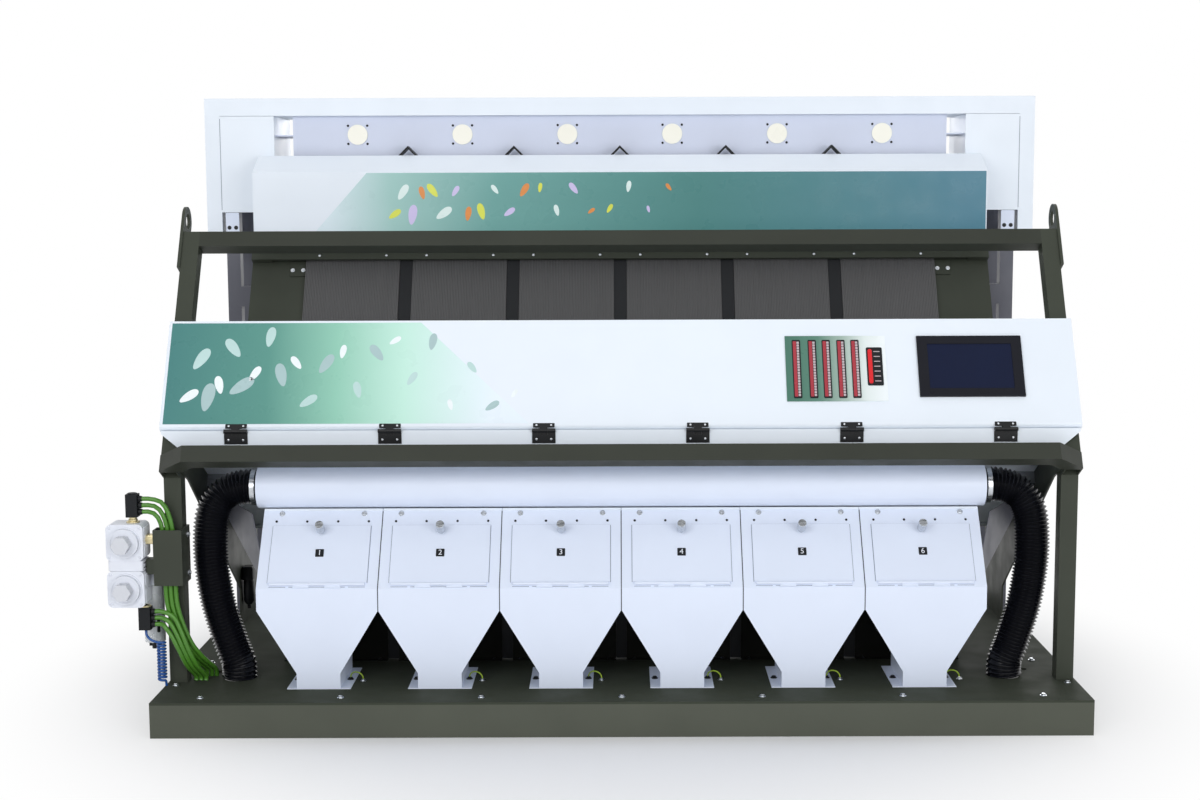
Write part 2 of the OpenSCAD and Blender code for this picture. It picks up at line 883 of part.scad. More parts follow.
// Bolted foot at each side of the neck
module neck_feet() both() difference() {
    block([neck_w / 2 - sheet / 2, hop_d, 0], [neck_w / 2 + foot_w, neck_d, sheet]);
    translate([neck_w / 2 + foot_w / 2, hop_d + foot_bolt_d, -cut])
        cylinder(r = foot_bolt_r, h = sheet + 2 * cut);
}

module hopper() {
    site() neck_feet();
    difference() {
        site() funnel(0);
        site() funnel(sheet);
        panel() block(
            [-door_w / 2 + 14, -20, door_t + 14],
            [door_w / 2 - 14, 20, door_t + door_h - 14]
        );
    }
    for (s = [-1, 1])
        translate([s * door_w * 0.16, 0, 0]) fixed_knuckle();
    panel() translate([0, door_axis_v, door_axis_t]) rod(-door_w / 2 + 4, door_w / 2 - 4, pin_r);
}

module fixed_knuckle() panel() {
    translate([0, door_axis_v, door_axis_t]) rod(-door_w * 0.08, door_w * 0.08, knuckle_r);
    block([-door_w * 0.08, door_axis_v, 2], [door_w * 0.08, 0.2, door_axis_t]);
}

module outlet_hoppers() color("#e6e8e9") each_lane() hopper();

// Door leaf with its knuckles, and the pull knob on it
module door() panel() {
    difference() {
        union() {
            block([-door_w / 2, -door_sheet - run_gap, door_t], [door_w / 2, -run_gap, door_t + door_h]);
            for (x = [-0.36, 0, 0.36])
                translate([x * door_w, 0, 0]) {
                    reach = door_w * (x == 0 ? 0.08 : 0.12) - run_gap;
                    translate([0, door_axis_v, door_axis_t]) rod(-reach, reach, knuckle_r);
                    block([-reach, -door_sheet - run_gap, door_axis_t], [reach, -run_gap, door_t + cut]);
                }
        }
        translate([0, door_axis_v, door_axis_t]) rod(-door_w, door_w, pin_r + bore_gap);
    }
    translate([0, -door_sheet - run_gap, door_t + door_h - 20]) rotate([90, 0, 0]) {
        cylinder(r = pull_r / 2, h = 12);
        translate([0, 0, 12]) cylinder(r = pull_r, h = pull_l - 12);
    }
}

module door_1() color("#eef0f0") lane(0) door();

module door_2() color("#eef0f0") lane(1) door();

module door_3() color("#eef0f0") lane(2) door();

module door_4() color("#eef0f0") lane(3) door();

module door_5() color("#eef0f0") lane(4) door();

module door_6() color("#eef0f0") lane(5) door();

// Upright bent sheets that widen the outer hoppers toward the rear, seen from above and from the side
function flare_plan() = let (c = flare_l * cos(flare_turn), s = flare_l * sin(flare_turn)) [
    [0, flare_flange], [0, 0], [sheet * sin(flare_turn), -sheet * cos(flare_turn)],
    [sheet * sin(flare_turn) + c, -sheet * cos(flare_turn) + s], [c, s], [sheet, sheet * tan(flare_turn)],
    [sheet, flare_flange]
];
function flare_side() = let (s = flare_l * sin(flare_turn) + sheet) [
    [-sheet, flare_low], [-sheet, flare_low + 70], [65, flare_top], [s, flare_top], [s, flare_top - 55]
];
module side_flares() {
    x = lanes_x - hop_gap + seat_gap;
    color("#c4c7c8") site() both() translate([x, flare_d, 0]) intersection() {
        linear_extrude(flare_top + cut) polygon(flare_plan());
        run_x(base_w) polygon(flare_side());
    }
}

function reject_form(g) = [
    [rej_d + g, -cut * sign(g)], [rej_d + g, rej_kink_h], [rej_mouth_d + g, rej_top],
    [rej_mouth_d + g, rej_top + cut * sign(g)], [rej_mouth_end - g, rej_top + cut * sign(g)],
    [rej_mouth_end - g, rej_top], [rej_rear - g, wide_h], [rej_rear - g, -cut * sign(g)]
];

// Bolted feet in front of and behind a reject hopper
module reject_feet() for (d = [rej_d - rej_foot, rej_rear - sheet / 2]) difference() {
    block([-rej_w / 2, d, 0], [rej_w / 2, d + rej_foot + sheet / 2, sheet]);
    both() translate([rej_w / 2 - rej_bolt_in, d + rej_foot / 2, -cut])
        cylinder(r = foot_bolt_r, h = sheet + 2 * cut);
}

module reject_hoppers() {
    color("#4a4e2c") site() each_lane() {
        reject_feet();
        difference() {
            run_x(rej_w) polygon(reject_form(0));
            run_x(rej_w - 2 * sheet) polygon(reject_form(sheet));
        }
    }
}

// Feeders

module feeder_beam() {
    color("#9da1a6") site() difference() {
        block([-leg_x, beam_d, beam_h], [leg_x, beam_d + beam_size, beam_h + beam_size]);
        block(
            [-leg_x - cut, beam_d + beam_wall, beam_h + beam_wall],
            [leg_x + cut, beam_d + beam_size - beam_wall, beam_h + beam_size - beam_wall]
        );
    }
}

// Magnet block on the beam with two upright leaf springs below the tray
module vibrators() {
    color("#3b5f8a") site() each_lane() {
        front = beam_d - 5;
        low = beam_h + beam_size;
        head = tray_floor - run_gap;
        block([-magnet_w / 2, front, low], [magnet_w / 2, front + magnet_l, low + magnet_h]);
        for (d = [front, front + magnet_l - spring_t]) {
            block([-spring_w / 2, d, low + magnet_h / 2], [spring_w / 2, d + spring_t, head]);
            block(
                [-spring_w / 2, d + spring_t / 2 - spring_foot / 2, head - 6],
                [spring_w / 2, d + spring_t / 2 + spring_foot / 2, head]
            );
        }
    }
}

module feeder_trays() {
    color("#c3c6ca") site() each_lane() difference() {
        block([-tray_w / 2, tray_d, tray_floor], [tray_w / 2, tray_end, tray_floor + tray_h]);
        block(
            [-tray_w / 2 + sheet, tray_d - cut, tray_floor + sheet],
            [tray_w / 2 - sheet, tray_end - sheet, tray_floor + tray_h + cut]
        );
    }
}

function cap_form(g) = [
    [cap_d + g, cap_low - cut * sign(g)], [cap_d + g, cap_face], [cap_d + cap_bevel + g / 2, cap_top - g],
    [hood_d + cut * sign(g), cap_top - g], [hood_d + cut * sign(g), cap_low - cut * sign(g)]
];

module top_cover() {
    color("#f1f2ef") site() difference() {
        run_x(cap_w) polygon(cap_form(0));
        run_x(cap_w - 2 * sheet) polygon(cap_form(sheet));
    }
}

module lane_dividers() {
    color("#17181a") site() each_gap() run_y(cap_d + cap_bevel + 4, hood_d - 1) polygon([
        [-divider_h, cap_top], [0, cap_top + divider_h], [divider_h, cap_top],
        [divider_h - divider_t, cap_top], [0, cap_top + divider_h - divider_t],
        [-divider_h + divider_t, cap_top]
    ]);
}

// Hood

module hood_frame() {
    color("#f4f5f5") site() {
        for (d = [hood_d, hood_d + hood_depth - hood_strip]) {
            block([-hood_w / 2, d, hood_top - hood_bar], [hood_w / 2, d + hood_strip, hood_top]);
            both() block([hood_w / 2 - hood_strip, d, hood_low], [hood_w / 2, d + hood_strip, hood_top]);
        }
        both() {
            block(
                [hood_w / 2 - hood_strip, hood_d, hood_top - hood_bar],
                [hood_w / 2, hood_d + hood_depth, hood_top]
            );
            block(
                [hood_w / 2 - hood_strip, hood_d, hood_low],
                [hood_w / 2, hood_d + hood_depth, hood_low + hood_strip]
            );
        }
    }
}

// Closed sheet boxes on the hood legs, between the feed hopper and the hood frame
module end_boxes() {
    color("#eff0f0") site() both() difference() {
        block([end_x, hood_d, end_low], [hood_w / 2 - hood_strip, hood_d + hood_depth, end_top]);
        block(
            [end_x + sheet, hood_d + sheet, end_low + 3],
            [hood_w / 2 - hood_strip - sheet, hood_d + hood_depth - sheet, end_top + cut]
        );
    }
}

function feed_form(g) = [
    [wall_d + g, feed_top + cut * sign(g)], [wall_d + g, feed_kink], [slot_d + g, feed_low],
    [slot_d + g, feed_low - cut * sign(g)], [slot_end - g, feed_low - cut * sign(g)],
    [slot_end - g, feed_low], [wall_end - g, feed_kink + 30], [wall_end - g, feed_top + cut * sign(g)]
];

module feed_hopper() {
    color("#eef0f0") site() {
        difference() {
            run_x(feed_w) polygon(feed_form(0));
            run_x(feed_w - 2 * sheet) polygon(feed_form(sheet));
            each_lane() translate([0, wall_d - cut, sight_h]) rotate([-90, 0, 0])
                cylinder(r = sight_r - 3, h = sheet + 2 * cut);
        }
        both() block([feed_w / 2 - cut, wall_d, feed_top - 60], [end_x, wall_end, feed_top - 56]);
    }
}

module sight_windows() {
    color("#e8dfc0") site() each_lane() translate([0, wall_d - sight_t, sight_h]) rotate([-90, 0, 0])
        cylinder(r = sight_r + sight_rim, h = sight_t);
}

// Air unit

module frl_bracket() {
    color("#4a4e2c") air_site() {
        difference() {
            block([bracket_x, bracket_d, bracket_low], [bracket_end, post_d, bracket_high]);
            block(
                [bracket_x + bracket_t, bracket_d + bracket_t, bracket_low - cut],
                [bracket_end - bracket_t, post_d - bracket_t, bracket_high + cut]
            );
        }
        block(
            [tube + run_gap, post_d - cut, bracket_low],
            [max(bracket_end, tube + bracket_t), post_d + tube - 2, bracket_high]
        );
        block(
            [reg_x + reg_w / 2, bracket_d + 5, bracket_low + 30],
            [bracket_x + cut, bracket_d + 5 + arm_d, bracket_low + 30 + arm_h]
        );
    }
}

module soft_square(w, r) {
    square([w, w - 2 * r], center = true);
    square([w - 2 * r, w], center = true);
    for (x = [-1, 1], y = [-1, 1])
        translate([x * (w / 2 - r), y * (w / 2 - r)]) circle(r);
}

// Body with a round boss in front, bored for the knob's stem
module regulator(h) translate([reg_x, reg_d, h]) difference() {
    union() {
        rotate([-90, 0, 0]) linear_extrude(reg_depth) soft_square(reg_w, reg_corner);
        rotate([90, 0, 0]) cylinder(r = boss_r, h = boss_l);
    }
    rotate([90, 0, 0]) translate([0, 0, boss_l - stem_l]) cylinder(r = stem_r + bore_gap, h = stem_l + cut);
}

module regulators() {
    color("#eceeee") air_site() {
        regulator(reg_high);
        regulator(reg_low);
        translate([reg_x, reg_d + reg_depth / 2, reg_low + reg_w / 2])
            cylinder(r = neck_r, h = reg_high - reg_low - reg_w);
        block(
            [bowl_x - bowl_arm / 2, reg_d + reg_depth, bowl_high],
            [bowl_x + bowl_arm / 2, bowl_d + bowl_r + 4, bowl_high + 50]
        );
    }
}

module knob(h) air_site() translate([reg_x, reg_d - boss_l, h]) rotate([90, 0, 0]) {
    translate([0, 0, run_gap]) cylinder(r = knob_r, h = knob_l, $fn = 6);
    translate([0, 0, -stem_l + 2]) cylinder(r = stem_r, h = stem_l);
}

module knob_upper() color("#e4e6e6") knob(reg_high);

module knob_lower() color("#e4e6e6") knob(reg_low);

module filter_bowl() {
    color("#c8d3d6") air_site() translate([bowl_x, bowl_d, bowl_low]) difference() {
        cylinder(r = bowl_r, h = bowl_high - bowl_low);
        translate([0, 0, 4]) cylinder(r = bowl_r - bowl_wall, h = bowl_high);
        translate([0, 0, -cut]) cylinder(r = drain_r + bore_gap, h = 10);
    }
}

module drain_cock() {
    color("#1b1c1e") air_site() translate([bowl_x, bowl_d, bowl_low]) {
        translate([0, 0, -20 - run_gap]) cylinder(r = 9, h = 20);
        translate([0, 0, -cut]) cylinder(r = drain_r, h = 4);
        block([-16, -3, -14], [16, 3, -6]);
    }
}

module fitting(x, h, low) air_site() translate([x, 0, h]) {
    w = fitting_w / 2;
    block([-w, fitting_d - w, -fitting_h / 2], [w, fitting_d + w, fitting_h / 2]);
    translate([0, fitting_d, low]) cylinder(r = nipple_r, h = nipple_l);
    for (k = [-1 : 1])
        translate([w - cut, fitting_d, k * fitting_step]) rod(0, 10, 7);
}

module air_fittings() {
    color("#1b1c1e") {
        fitting(reg_x + 15, reg_high + reg_w / 2 + 15 + fitting_h / 2, -15 - fitting_h / 2);
        fitting(reg_x + 39, reg_low - reg_w / 2 - 5 - fitting_h / 2, fitting_h / 2 - 11);
    }
}

// Route of one tube, k steps away from the middle one
function fanned(route, k) = [
    for (i = [0 : len(route) - 1])
        route[i] + k * [fan_x[min(i, len(fan_x) - 1)], 0, fan_h[min(i, len(fan_h) - 1)]]
];

module air_tubes() {
    color("#1f8a4c") air_site() for (k = [-1 : 1]) {
        sweep(fanned(top_route, k), air_r, 8, [0, 1, 0]);
        sweep(fanned(low_route, k), air_r, 8, [0, 1, 0]);
    }
}

module recoil_hose() {
    color("#1f5fae") air_site() {
        sweep(coil_route, coil_r, 12, [0, 1, 0]);
        sweep(tail_route, air_r, 8, [0, 1, 0]);
    }
}

base_frame();
base_top();
front_posts();
hood_legs();
front_beam();
rails();
crossbar();
lifting_lugs();
side_plates();
chute_bed();
chutes();
gap_strips();
clamp_rail();
front_box();
rear_box();
rear_cover();
windows();
cameras();
lamp_bars();
wiper_rails();
wipers();
air_manifold();
ejector_valves();
front_cover();
screen_bezel();
screen_glass();
level_panel();
hinge_knuckles();
hinge_leaves();
dust_duct();
duct_hose_left();
duct_hose_right();
hose_clamps();
outlet_hoppers();
door_1();
door_2();
door_3();
door_4();
door_5();
door_6();
side_flares();
reject_hoppers();
feeder_beam();
vibrators();
feeder_trays();
top_cover();
lane_dividers();
hood_frame();
feed_hopper();
end_boxes();
sight_windows();
frl_bracket();
regulators();
knob_upper();
knob_lower();
filter_bowl();
drain_cock();
air_fittings();
air_tubes();
recoil_hose();
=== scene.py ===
import math

import bmesh
import bpy
from mathutils import Matrix, Vector


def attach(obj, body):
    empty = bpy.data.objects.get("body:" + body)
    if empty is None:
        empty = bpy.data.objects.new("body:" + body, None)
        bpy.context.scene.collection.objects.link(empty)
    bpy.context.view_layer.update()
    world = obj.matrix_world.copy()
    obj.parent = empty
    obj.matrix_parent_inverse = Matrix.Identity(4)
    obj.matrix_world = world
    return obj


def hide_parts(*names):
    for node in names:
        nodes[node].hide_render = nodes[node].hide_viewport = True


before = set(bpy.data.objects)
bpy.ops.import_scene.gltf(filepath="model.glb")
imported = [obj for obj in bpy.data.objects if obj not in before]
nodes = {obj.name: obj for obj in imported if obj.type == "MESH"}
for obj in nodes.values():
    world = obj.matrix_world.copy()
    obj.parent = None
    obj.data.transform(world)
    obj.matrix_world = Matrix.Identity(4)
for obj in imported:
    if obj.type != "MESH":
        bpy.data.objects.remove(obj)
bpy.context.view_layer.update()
scene = bpy.context.scene


def centred(count, step):
    """Even places about zero."""
    return [(k - (count - 1) / 2) * step for k in range(count)]


# Main sizes, in metres and degrees
BASE_D = 1.250
BASE_H = 0.092
TILT = 28.5
HINGE_D = 0.184
HINGE_H = 0.677
HOP_D = 0.125
FRONT_H = 0.266
SLOPE_D = 0.142
SLOPE_H = 0.186
PANEL_TILT = math.degrees(math.atan2(SLOPE_D, SLOPE_H))
LANES = 6
PITCH = 0.316
LANE_X = centred(LANES, PITCH)
GAP_X = centred(LANES - 1, PITCH)
LANES_EDGE = LANES * PITCH / 2
SIDES = (-1, 1)


# Places

def site(x, d, h):
    """Point at x, d behind the base's front edge and h above its plate."""
    return Vector((x, d - BASE_D / 2, h + BASE_H))


def leaning(tilt):
    """Outward and upward directions of a face that leans back by tilt degrees."""
    a = math.radians(tilt)
    return Vector((0, -math.cos(a), math.sin(a))), Vector((0, math.sin(a), math.cos(a)))


def deck(x, v, t):
    """Point of the sorting deck: v goes into the machine, t up the slope."""
    out, up = leaning(TILT)
    return site(x, HINGE_D, HINGE_H) - v * out + t * up


def panel(x, v, t):
    """Point of a hopper's inclined front: v goes into the hopper, t up the slope."""
    out, up = leaning(PANEL_TILT)
    return site(x, HOP_D, FRONT_H) - v * out + t * up


def place(point, out, up):
    """Matrix with x to the right, y along up and z along out."""
    right = up.cross(out).normalized()
    turn = Matrix((right, out.cross(right), out)).transposed()
    return Matrix.Translation(point) @ turn.to_4x4()


def on_deck(x, v, t):
    return place(deck(x, v, t), *leaning(TILT))


def on_rear(x, v, t):
    """Place on the sorting deck's rear face."""
    out, up = leaning(TILT)
    return place(deck(x, v, t), -out, up)


def on_panel(x, v, t):
    return place(panel(x, v, t), *leaning(PANEL_TILT))


def on_front(x, d, h):
    return place(site(x, d, h), *leaning(0))


def on_top(x, d, h):
    return place(site(x, d, h), Vector((0, 0, 1)), Vector((0, 1, 0)))


def on_right(x, d, h):
    """Place on a face that looks to the right."""
    return place(site(x, d, h), Vector((1, 0, 0)), Vector((0, 0, 1)))


# Camera, set so that the model's edges fall on the photo's

EYE = (0.0, -4.949, 1.357)
PITCH_DOWN = 6.52
ROLL = 0.2
SENSOR = 36
LENS = 52.5
SHIFT_PIXELS = -20
PHOTO_PIXELS = 1200
camera = bpy.data.objects.new("camera", bpy.data.cameras.new("camera"))
camera.data.sensor_width = SENSOR
camera.data.lens = LENS
camera.data.shift_x = SHIFT_PIXELS / PHOTO_PIXELS
camera.location = EYE
camera.rotation_euler = (math.radians(90 - PITCH_DOWN), math.radians(ROLL), 0)
scene.collection.objects.link(camera)
scene.camera = camera


# Materials

# Range in which most values of a noise lie
NOISE_LOW = 0.3
NOISE_HIGH = 0.7
# Scale of the patches of uneven gloss
SMEAR = 14.0


def tone(code):
    """Linear colour of a hex code."""
    parts = [int(code[i:i + 2], 16) / 255 for i in (1, 3, 5)]
    return [c / 12.92 if c <= 0.04045 else ((c + 0.055) / 1.055) ** 2.4 for c in parts] + [1]


def shade(colour, factor):
    return [min(1, c * factor) for c in colour[:3]] + [1]


class Finish:
    """Material on one principled shader, with the noise, bump and colour nodes that feed it."""

    def __init__(self, name, rough, metal=0.0, coat=0.0):
        self.made = bpy.data.materials.new(name)
        self.made.use_nodes = True
        self.tree = self.made.node_tree
        self.shader = self.tree.nodes["Principled BSDF"]
        self.set("Roughness", rough)
        self.set("Metallic", metal)
        self.set("Coat Weight", coat)
        self.coords = self.add("ShaderNodeTexCoord").outputs

    def add(self, kind, **values):
        node = self.tree.nodes.new(kind)
        for key, value in values.items():
            setattr(node, key, value)
        return node

    def set(self, socket, value):
        self.shader.inputs[socket].default_value = value

    def link(self, a, b):
        self.tree.links.new(a, b)

    def noise(self, scale, detail=3.0, stretch=(1, 1, 1), turn=0.0):
        """Noise value; stretch and turn lay its grain along a direction."""
        mapping = self.add("ShaderNodeMapping")
        mapping.inputs["Scale"].default_value = stretch
        mapping.inputs["Rotation"].default_value = (math.radians(turn), 0, 0)
        node = self.add("ShaderNodeTexNoise")
        node.inputs["Scale"].default_value = scale
        node.inputs["Detail"].default_value = detail
        self.link(self.coords["Object"], mapping.inputs["Vector"])
        self.link(mapping.outputs["Vector"], node.inputs["Vector"])
        return node.outputs["Fac"]

    def ramp(self, value, stops):
        """Base colour that follows a value through colour stops."""
        node = self.add("ShaderNodeValToRGB")
        edge = node.color_ramp.elements
        for element, (at, colour) in zip(edge, (stops[0], stops[-1])):
            element.position = at
            element.color = colour
        for at, colour in stops[1:-1]:
            edge.new(at).color = colour
        self.link(value, node.inputs["Fac"])
        self.link(node.outputs["Color"], self.shader.inputs["Base Color"])

    def mottle(self, value, code, low, high):
        """Base colour that goes with a noise between two shades of a tone."""
        base = tone(code)
        self.ramp(value, [(NOISE_LOW, shade(base, low)), (NOISE_HIGH, shade(base, high))])

    def vary_rough(self, value, low, high):
        """Roughness that goes with a noise from low to high."""
        node = self.add("ShaderNodeMapRange")
        node.inputs["From Min"].default_value = NOISE_LOW
        node.inputs["From Max"].default_value = NOISE_HIGH
        node.inputs["To Min"].default_value = low
        node.inputs["To Max"].default_value = high
        self.link(value, node.inputs["Value"])
        self.link(node.outputs["Result"], self.shader.inputs["Roughness"])

    def bump(self, value, strength, depth):
        node = self.add("ShaderNodeBump")
        node.inputs["Strength"].default_value = strength
        node.inputs["Distance"].default_value = depth
        self.link(value, node.inputs["Height"])
        self.link(node.outputs["Normal"], self.shader.inputs["Normal"])


def coated(name, code, rough, mottle, grain, bump, gloss=0.5):
    """Paint or moulded plastic: cloudy tone, orange-peel bump, uneven gloss."""
    f = Finish(name, rough)
    f.set("Specular IOR Level", gloss)
    f.mottle(f.noise(5.0, detail=4.0), code, 1 - mottle, 1 + mottle)
    f.vary_rough(f.noise(SMEAR), rough - 0.06, rough + 0.08)
    f.bump(f.noise(grain, detail=2.0), bump, depth=0.0004)
    return f.made


def brushed(name, code, rough, stretch, turn=0.0, mottle=0.12, metal=1.0):
    """Metal with a drawn-out grain."""
    f = Finish(name, rough, metal)
    lines = f.noise(1.0, stretch=stretch, turn=turn)
    f.mottle(lines, code, 1 - mottle, 1 + mottle)
    f.vary_rough(lines, rough - 0.08, rough + 0.1)
    f.bump(lines, strength=0.08, depth=0.0002)
    return f.made


def clear(name, code, rough, see_through):
    """Glass or clear plastic, with faint streaks."""
    f = Finish(name, rough, coat=0.5)
    f.mottle(f.noise(4.0), code, low=0.94, high=1)
    f.vary_rough(f.noise(9.0), rough, rough + 0.06)
    f.set("Transmission Weight", see_through)
    f.set("IOR", 1.49)
    return f.made


def printed(name, *stops):
    """Gloss film whose colour runs along the piece, with a faint cloud in it."""
    f = Finish(name, rough=0.3)
    f.set("Specular IOR Level", 0.25)
    split = f.add("ShaderNodeSeparateXYZ")
    f.link(f.coords["Generated"], split.inputs[0])
    cloud = f.add("ShaderNodeMath", operation="MULTIPLY_ADD")
    cloud.inputs[1].default_value = 0.05
    f.link(f.noise(2.5), cloud.inputs[0])
    f.link(split.outputs["X"], cloud.inputs[2])
    f.ramp(cloud.outputs["Value"], [(at, tone(code)) for at, code in stops])
    f.vary_rough(f.noise(SMEAR), low=0.24, high=0.36)
    f.bump(f.noise(700, detail=2.0), strength=0.04, depth=0.0002)
    return f.made


# Paints and plastics: colour, roughness, mottle, grain, bump and gloss
PAINTS = {
    "olive_paint": ("#4e5147", 0.46, 0.06, 380, 0.16, 0.25),
    # Painted shade: the olive paint made darker for the frame parts, which lie in shade
    "frame_olive": ("#3b3f36", 0.46, 0.08, 380, 0.16, 0.2),
    # Painted shade: the olive paint made darker for the base's top plate, in the hoppers' shade
    "plate_olive": ("#3e4239", 0.64, 0.06, 380, 0.14, 0.06),
    # Painted shade: the olive paint made darker still for the beam and crossbar under the cover
    "beam_olive": ("#33362f", 0.46, 0.08, 380, 0.16, 0.2),
    # Reject hoppers' olive, near black: partly their dark paint, partly painted shade under the outlet
    # hoppers
    "deep_olive": ("#151612", 0.55, 0.10, 380, 0.16, 0.1),
    "white_paint": ("#e7eef6", 0.34, 0.012, 520, 0.06, 0.4),
    # Painted shade: the white paint made darker and bluer for the hoppers, doors, dust duct and leg plates
    "pale_paint": ("#e0e8f8", 0.36, 0.015, 520, 0.06, 0.4),
    # Painted shade: the white paint made darker for the feed hopper
    "feed_paint": ("#d3d9ea", 0.4, 0.02, 520, 0.06, 0.3),
    # Grey paint of the feeder beam; on the white side flares and hood legs it is painted shade
    "grey_paint": ("#5f6069", 0.42, 0.05, 480, 0.08, 0.3),
    "blue_paint": ("#34557c", 0.42, 0.05, 420, 0.12),
    "black_metal": ("#17181a", 0.36, 0.10, 300, 0.15, 0.25),
    "black_plastic": ("#17191c", 0.45, 0.08, 700, 0.2, 0.2),
    "grey_plastic": ("#17181f", 0.32, 0.05, 900, 0.08, 0.15),
    "valve_plastic": ("#2c2e33", 0.45, 0.08, 700, 0.2),
    "white_plastic": ("#e4e7ef", 0.38, 0.02, 700, 0.08, 0.3),
    "knob_plastic": ("#d2d4da", 0.32, 0.02, 700, 0.08, 0.3),
    "cream_plastic": ("#fbf8ea", 0.3, 0.02, 500, 0.05, 0.3),
    "camera_shell": ("#2b2d31", 0.4, 0.06, 600, 0.15),
    "wiper_rubber": ("#25433b", 0.6, 0.1, 500, 0.25),
    "hose_rubber": ("#0f1015", 0.2, 0.15, 260, 0.06, 0.35),
    "green_tube": ("#4c832a", 0.24, 0.10, 300, 0.05, 0.4),
    "blue_tube": ("#1c4f94", 0.26, 0.08, 300, 0.05, 0.4),
    "dark_screen": ("#131b35", 0.14, 0.06, 60, 0.01, 0.12),
    "earth_green": ("#9cb83a", 0.4, 0.35, 300, 0.1, 0.3),
    "print_white": ("#eef5f7", 0.3, 0.02, 600, 0.03),
    "print_mint": ("#bcd9d6", 0.3, 0.03, 600, 0.03),
    "print_grey": ("#a9c3c4", 0.3, 0.03, 600, 0.03),
    "print_yellow": ("#dbe04c", 0.3, 0.03, 600, 0.03),
    "print_pale": ("#dff0ec", 0.3, 0.02, 600, 0.03),
    "print_lilac": ("#cfc3ea", 0.3, 0.03, 600, 0.03),
    "print_orange": ("#e08a3c", 0.3, 0.03, 600, 0.03),
    "lamp_red": ("#a83a44", 0.22, 0.08, 500, 0.05, 0.3),
    "lamp_grey": ("#c3b4b8", 0.25, 0.05, 500, 0.05, 0.3),
    "gauge_red": ("#d8262c", 0.25, 0.05, 500, 0.05, 0.3),
    # Grey of the strips over the hopper joints: partly the strip, partly painted shade
    "dark_seam": ("#3c3f46", 0.6, 0.1, 500, 0.2, 0.2),
    # Painted shade of the door gaps; also the end boxes' seams
    "pale_seam": ("#8d93a0", 0.6, 0.1, 500, 0.2, 0.2),
}

# Metals: colour, roughness, stretch of the grain, its turn, mottle and share of metal
METALS = {
    "dark_anodised": ("#5a5a5b", 0.42, (700, 5, 5), TILT, 0.10, 0.7),
    "bright_steel": ("#c4c8cd", 0.26, (40, 400, 40)),
    "plain_aluminium": ("#a7abb0", 0.36, (8, 500, 500)),
    "brushed_tray": ("#b9bdc2", 0.3, (600, 8, 8)),
    "brass": ("#d6c9a0", 0.34, (60, 60, 300), 0.0, 0.1, 0.8),
}

# Clear materials: colour, roughness and share of light let through
CLEARS = {
    "lamp_tube": ("#f4f1de", 0.3, 0.25),
    "clear_glass": ("#dcebea", 0.03, 0.95),
    "bowl_plastic": ("#eef2f5", 0.24, 0.4),
}

# Films: colour stops from left to right
PRINTS = {
    "panel_film": (
        (0.05, "#4a7565"), (0.35, "#5d8575"), (0.62, "#a9bcb2"), (0.82, "#dfe8e6"), (1.0, "#eef4f6")
    ),
    "cover_print": (
        (0.03, "#4b827f"), (0.30, "#5d958a"), (0.50, "#93c9b4"), (0.68, "#c3eadb"), (0.93, "#e7f1f9")
    ),
    "band_print": (
        (0.04, "#dbeaf0"), (0.14, "#a3cbc5"), (0.30, "#6fa6a0"), (0.60, "#4d8683"), (1.0, "#4b7f92")
    ),
}

MATERIALS = {}
for make, table in ((coated, PAINTS), (brushed, METALS), (clear, CLEARS), (printed, PRINTS)):
    for name, values in table.items():
        MATERIALS[name] = make(name, *values)


# Finishes of the CAD nodes

def dress(look, *names):
    """Puts a material on CAD nodes."""
    for name in names:
        nodes[name].data.materials.clear()
        nodes[name].data.materials.append(MATERIALS[look])


dress("olive_paint", "base_frame")
# Painted shade: the darker olive on the base's top plate
dress("plate_olive", "base_top")
# Painted shade: the darker olive on the frame parts
dress(
    "frame_olive", "front_posts", "rails", "lifting_lugs", "side_plates", "chute_bed", "clamp_rail",
    "frl_bracket",
)
# Painted shade: the darkest olive on the front beam and crossbar
dress("beam_olive", "front_beam", "crossbar")
# Dark paint with painted shade on the reject hoppers
dress("deep_olive", "reject_hoppers")
dress("white_paint", "front_cover", "top_cover", "hood_frame", "end_boxes")
dress("white_paint", "front_box", "rear_box", "rear_cover")
# Painted shade: the darker white on the feed hopper
dress("feed_paint", "feed_hopper")
# Painted shade: the darker white on the hoppers, doors and dust duct
dress("pale_paint", "outlet_hoppers", "dust_duct", *[f"door_{i + 1}" for i in range(LANES)])
# Painted shade on the side flares and hood legs; the feeder beam's own grey
dress("grey_paint", "side_flares", "hood_legs", "feeder_beam")
dress("dark_anodised", "chutes")
dress("black_plastic", "gap_strips", "lane_dividers", "air_fittings", "drain_cock")
dress("clear_glass", "windows")
dress("camera_shell", "cameras")
dress("lamp_tube", "lamp_bars")
dress("bright_steel", "wiper_rails", "hose_clamps")
dress("wiper_rubber", "wipers")
dress("plain_aluminium", "air_manifold")
dress("valve_plastic", "ejector_valves")
dress("black_metal", "hinge_knuckles", "hinge_leaves")
dress("grey_plastic", "screen_bezel")
dress("blue_paint", "vibrators")
dress("brushed_tray", "feeder_trays")
dress("cream_plastic", "sight_windows")
dress("white_plastic", "regulators")
dress("knob_plastic", "knob_upper", "knob_lower")
dress("bowl_plastic", "filter_bowl")
dress("dark_screen", "screen_glass")
dress("panel_film", "level_panel")


# Mesh making

CORNER_STEPS = 4
WASHER_SIDES = 20
SCREW_SIDES = 16
FITTING_SIDES = 24
SLEEVE_SIDES = 28
RING_SIDES = 40

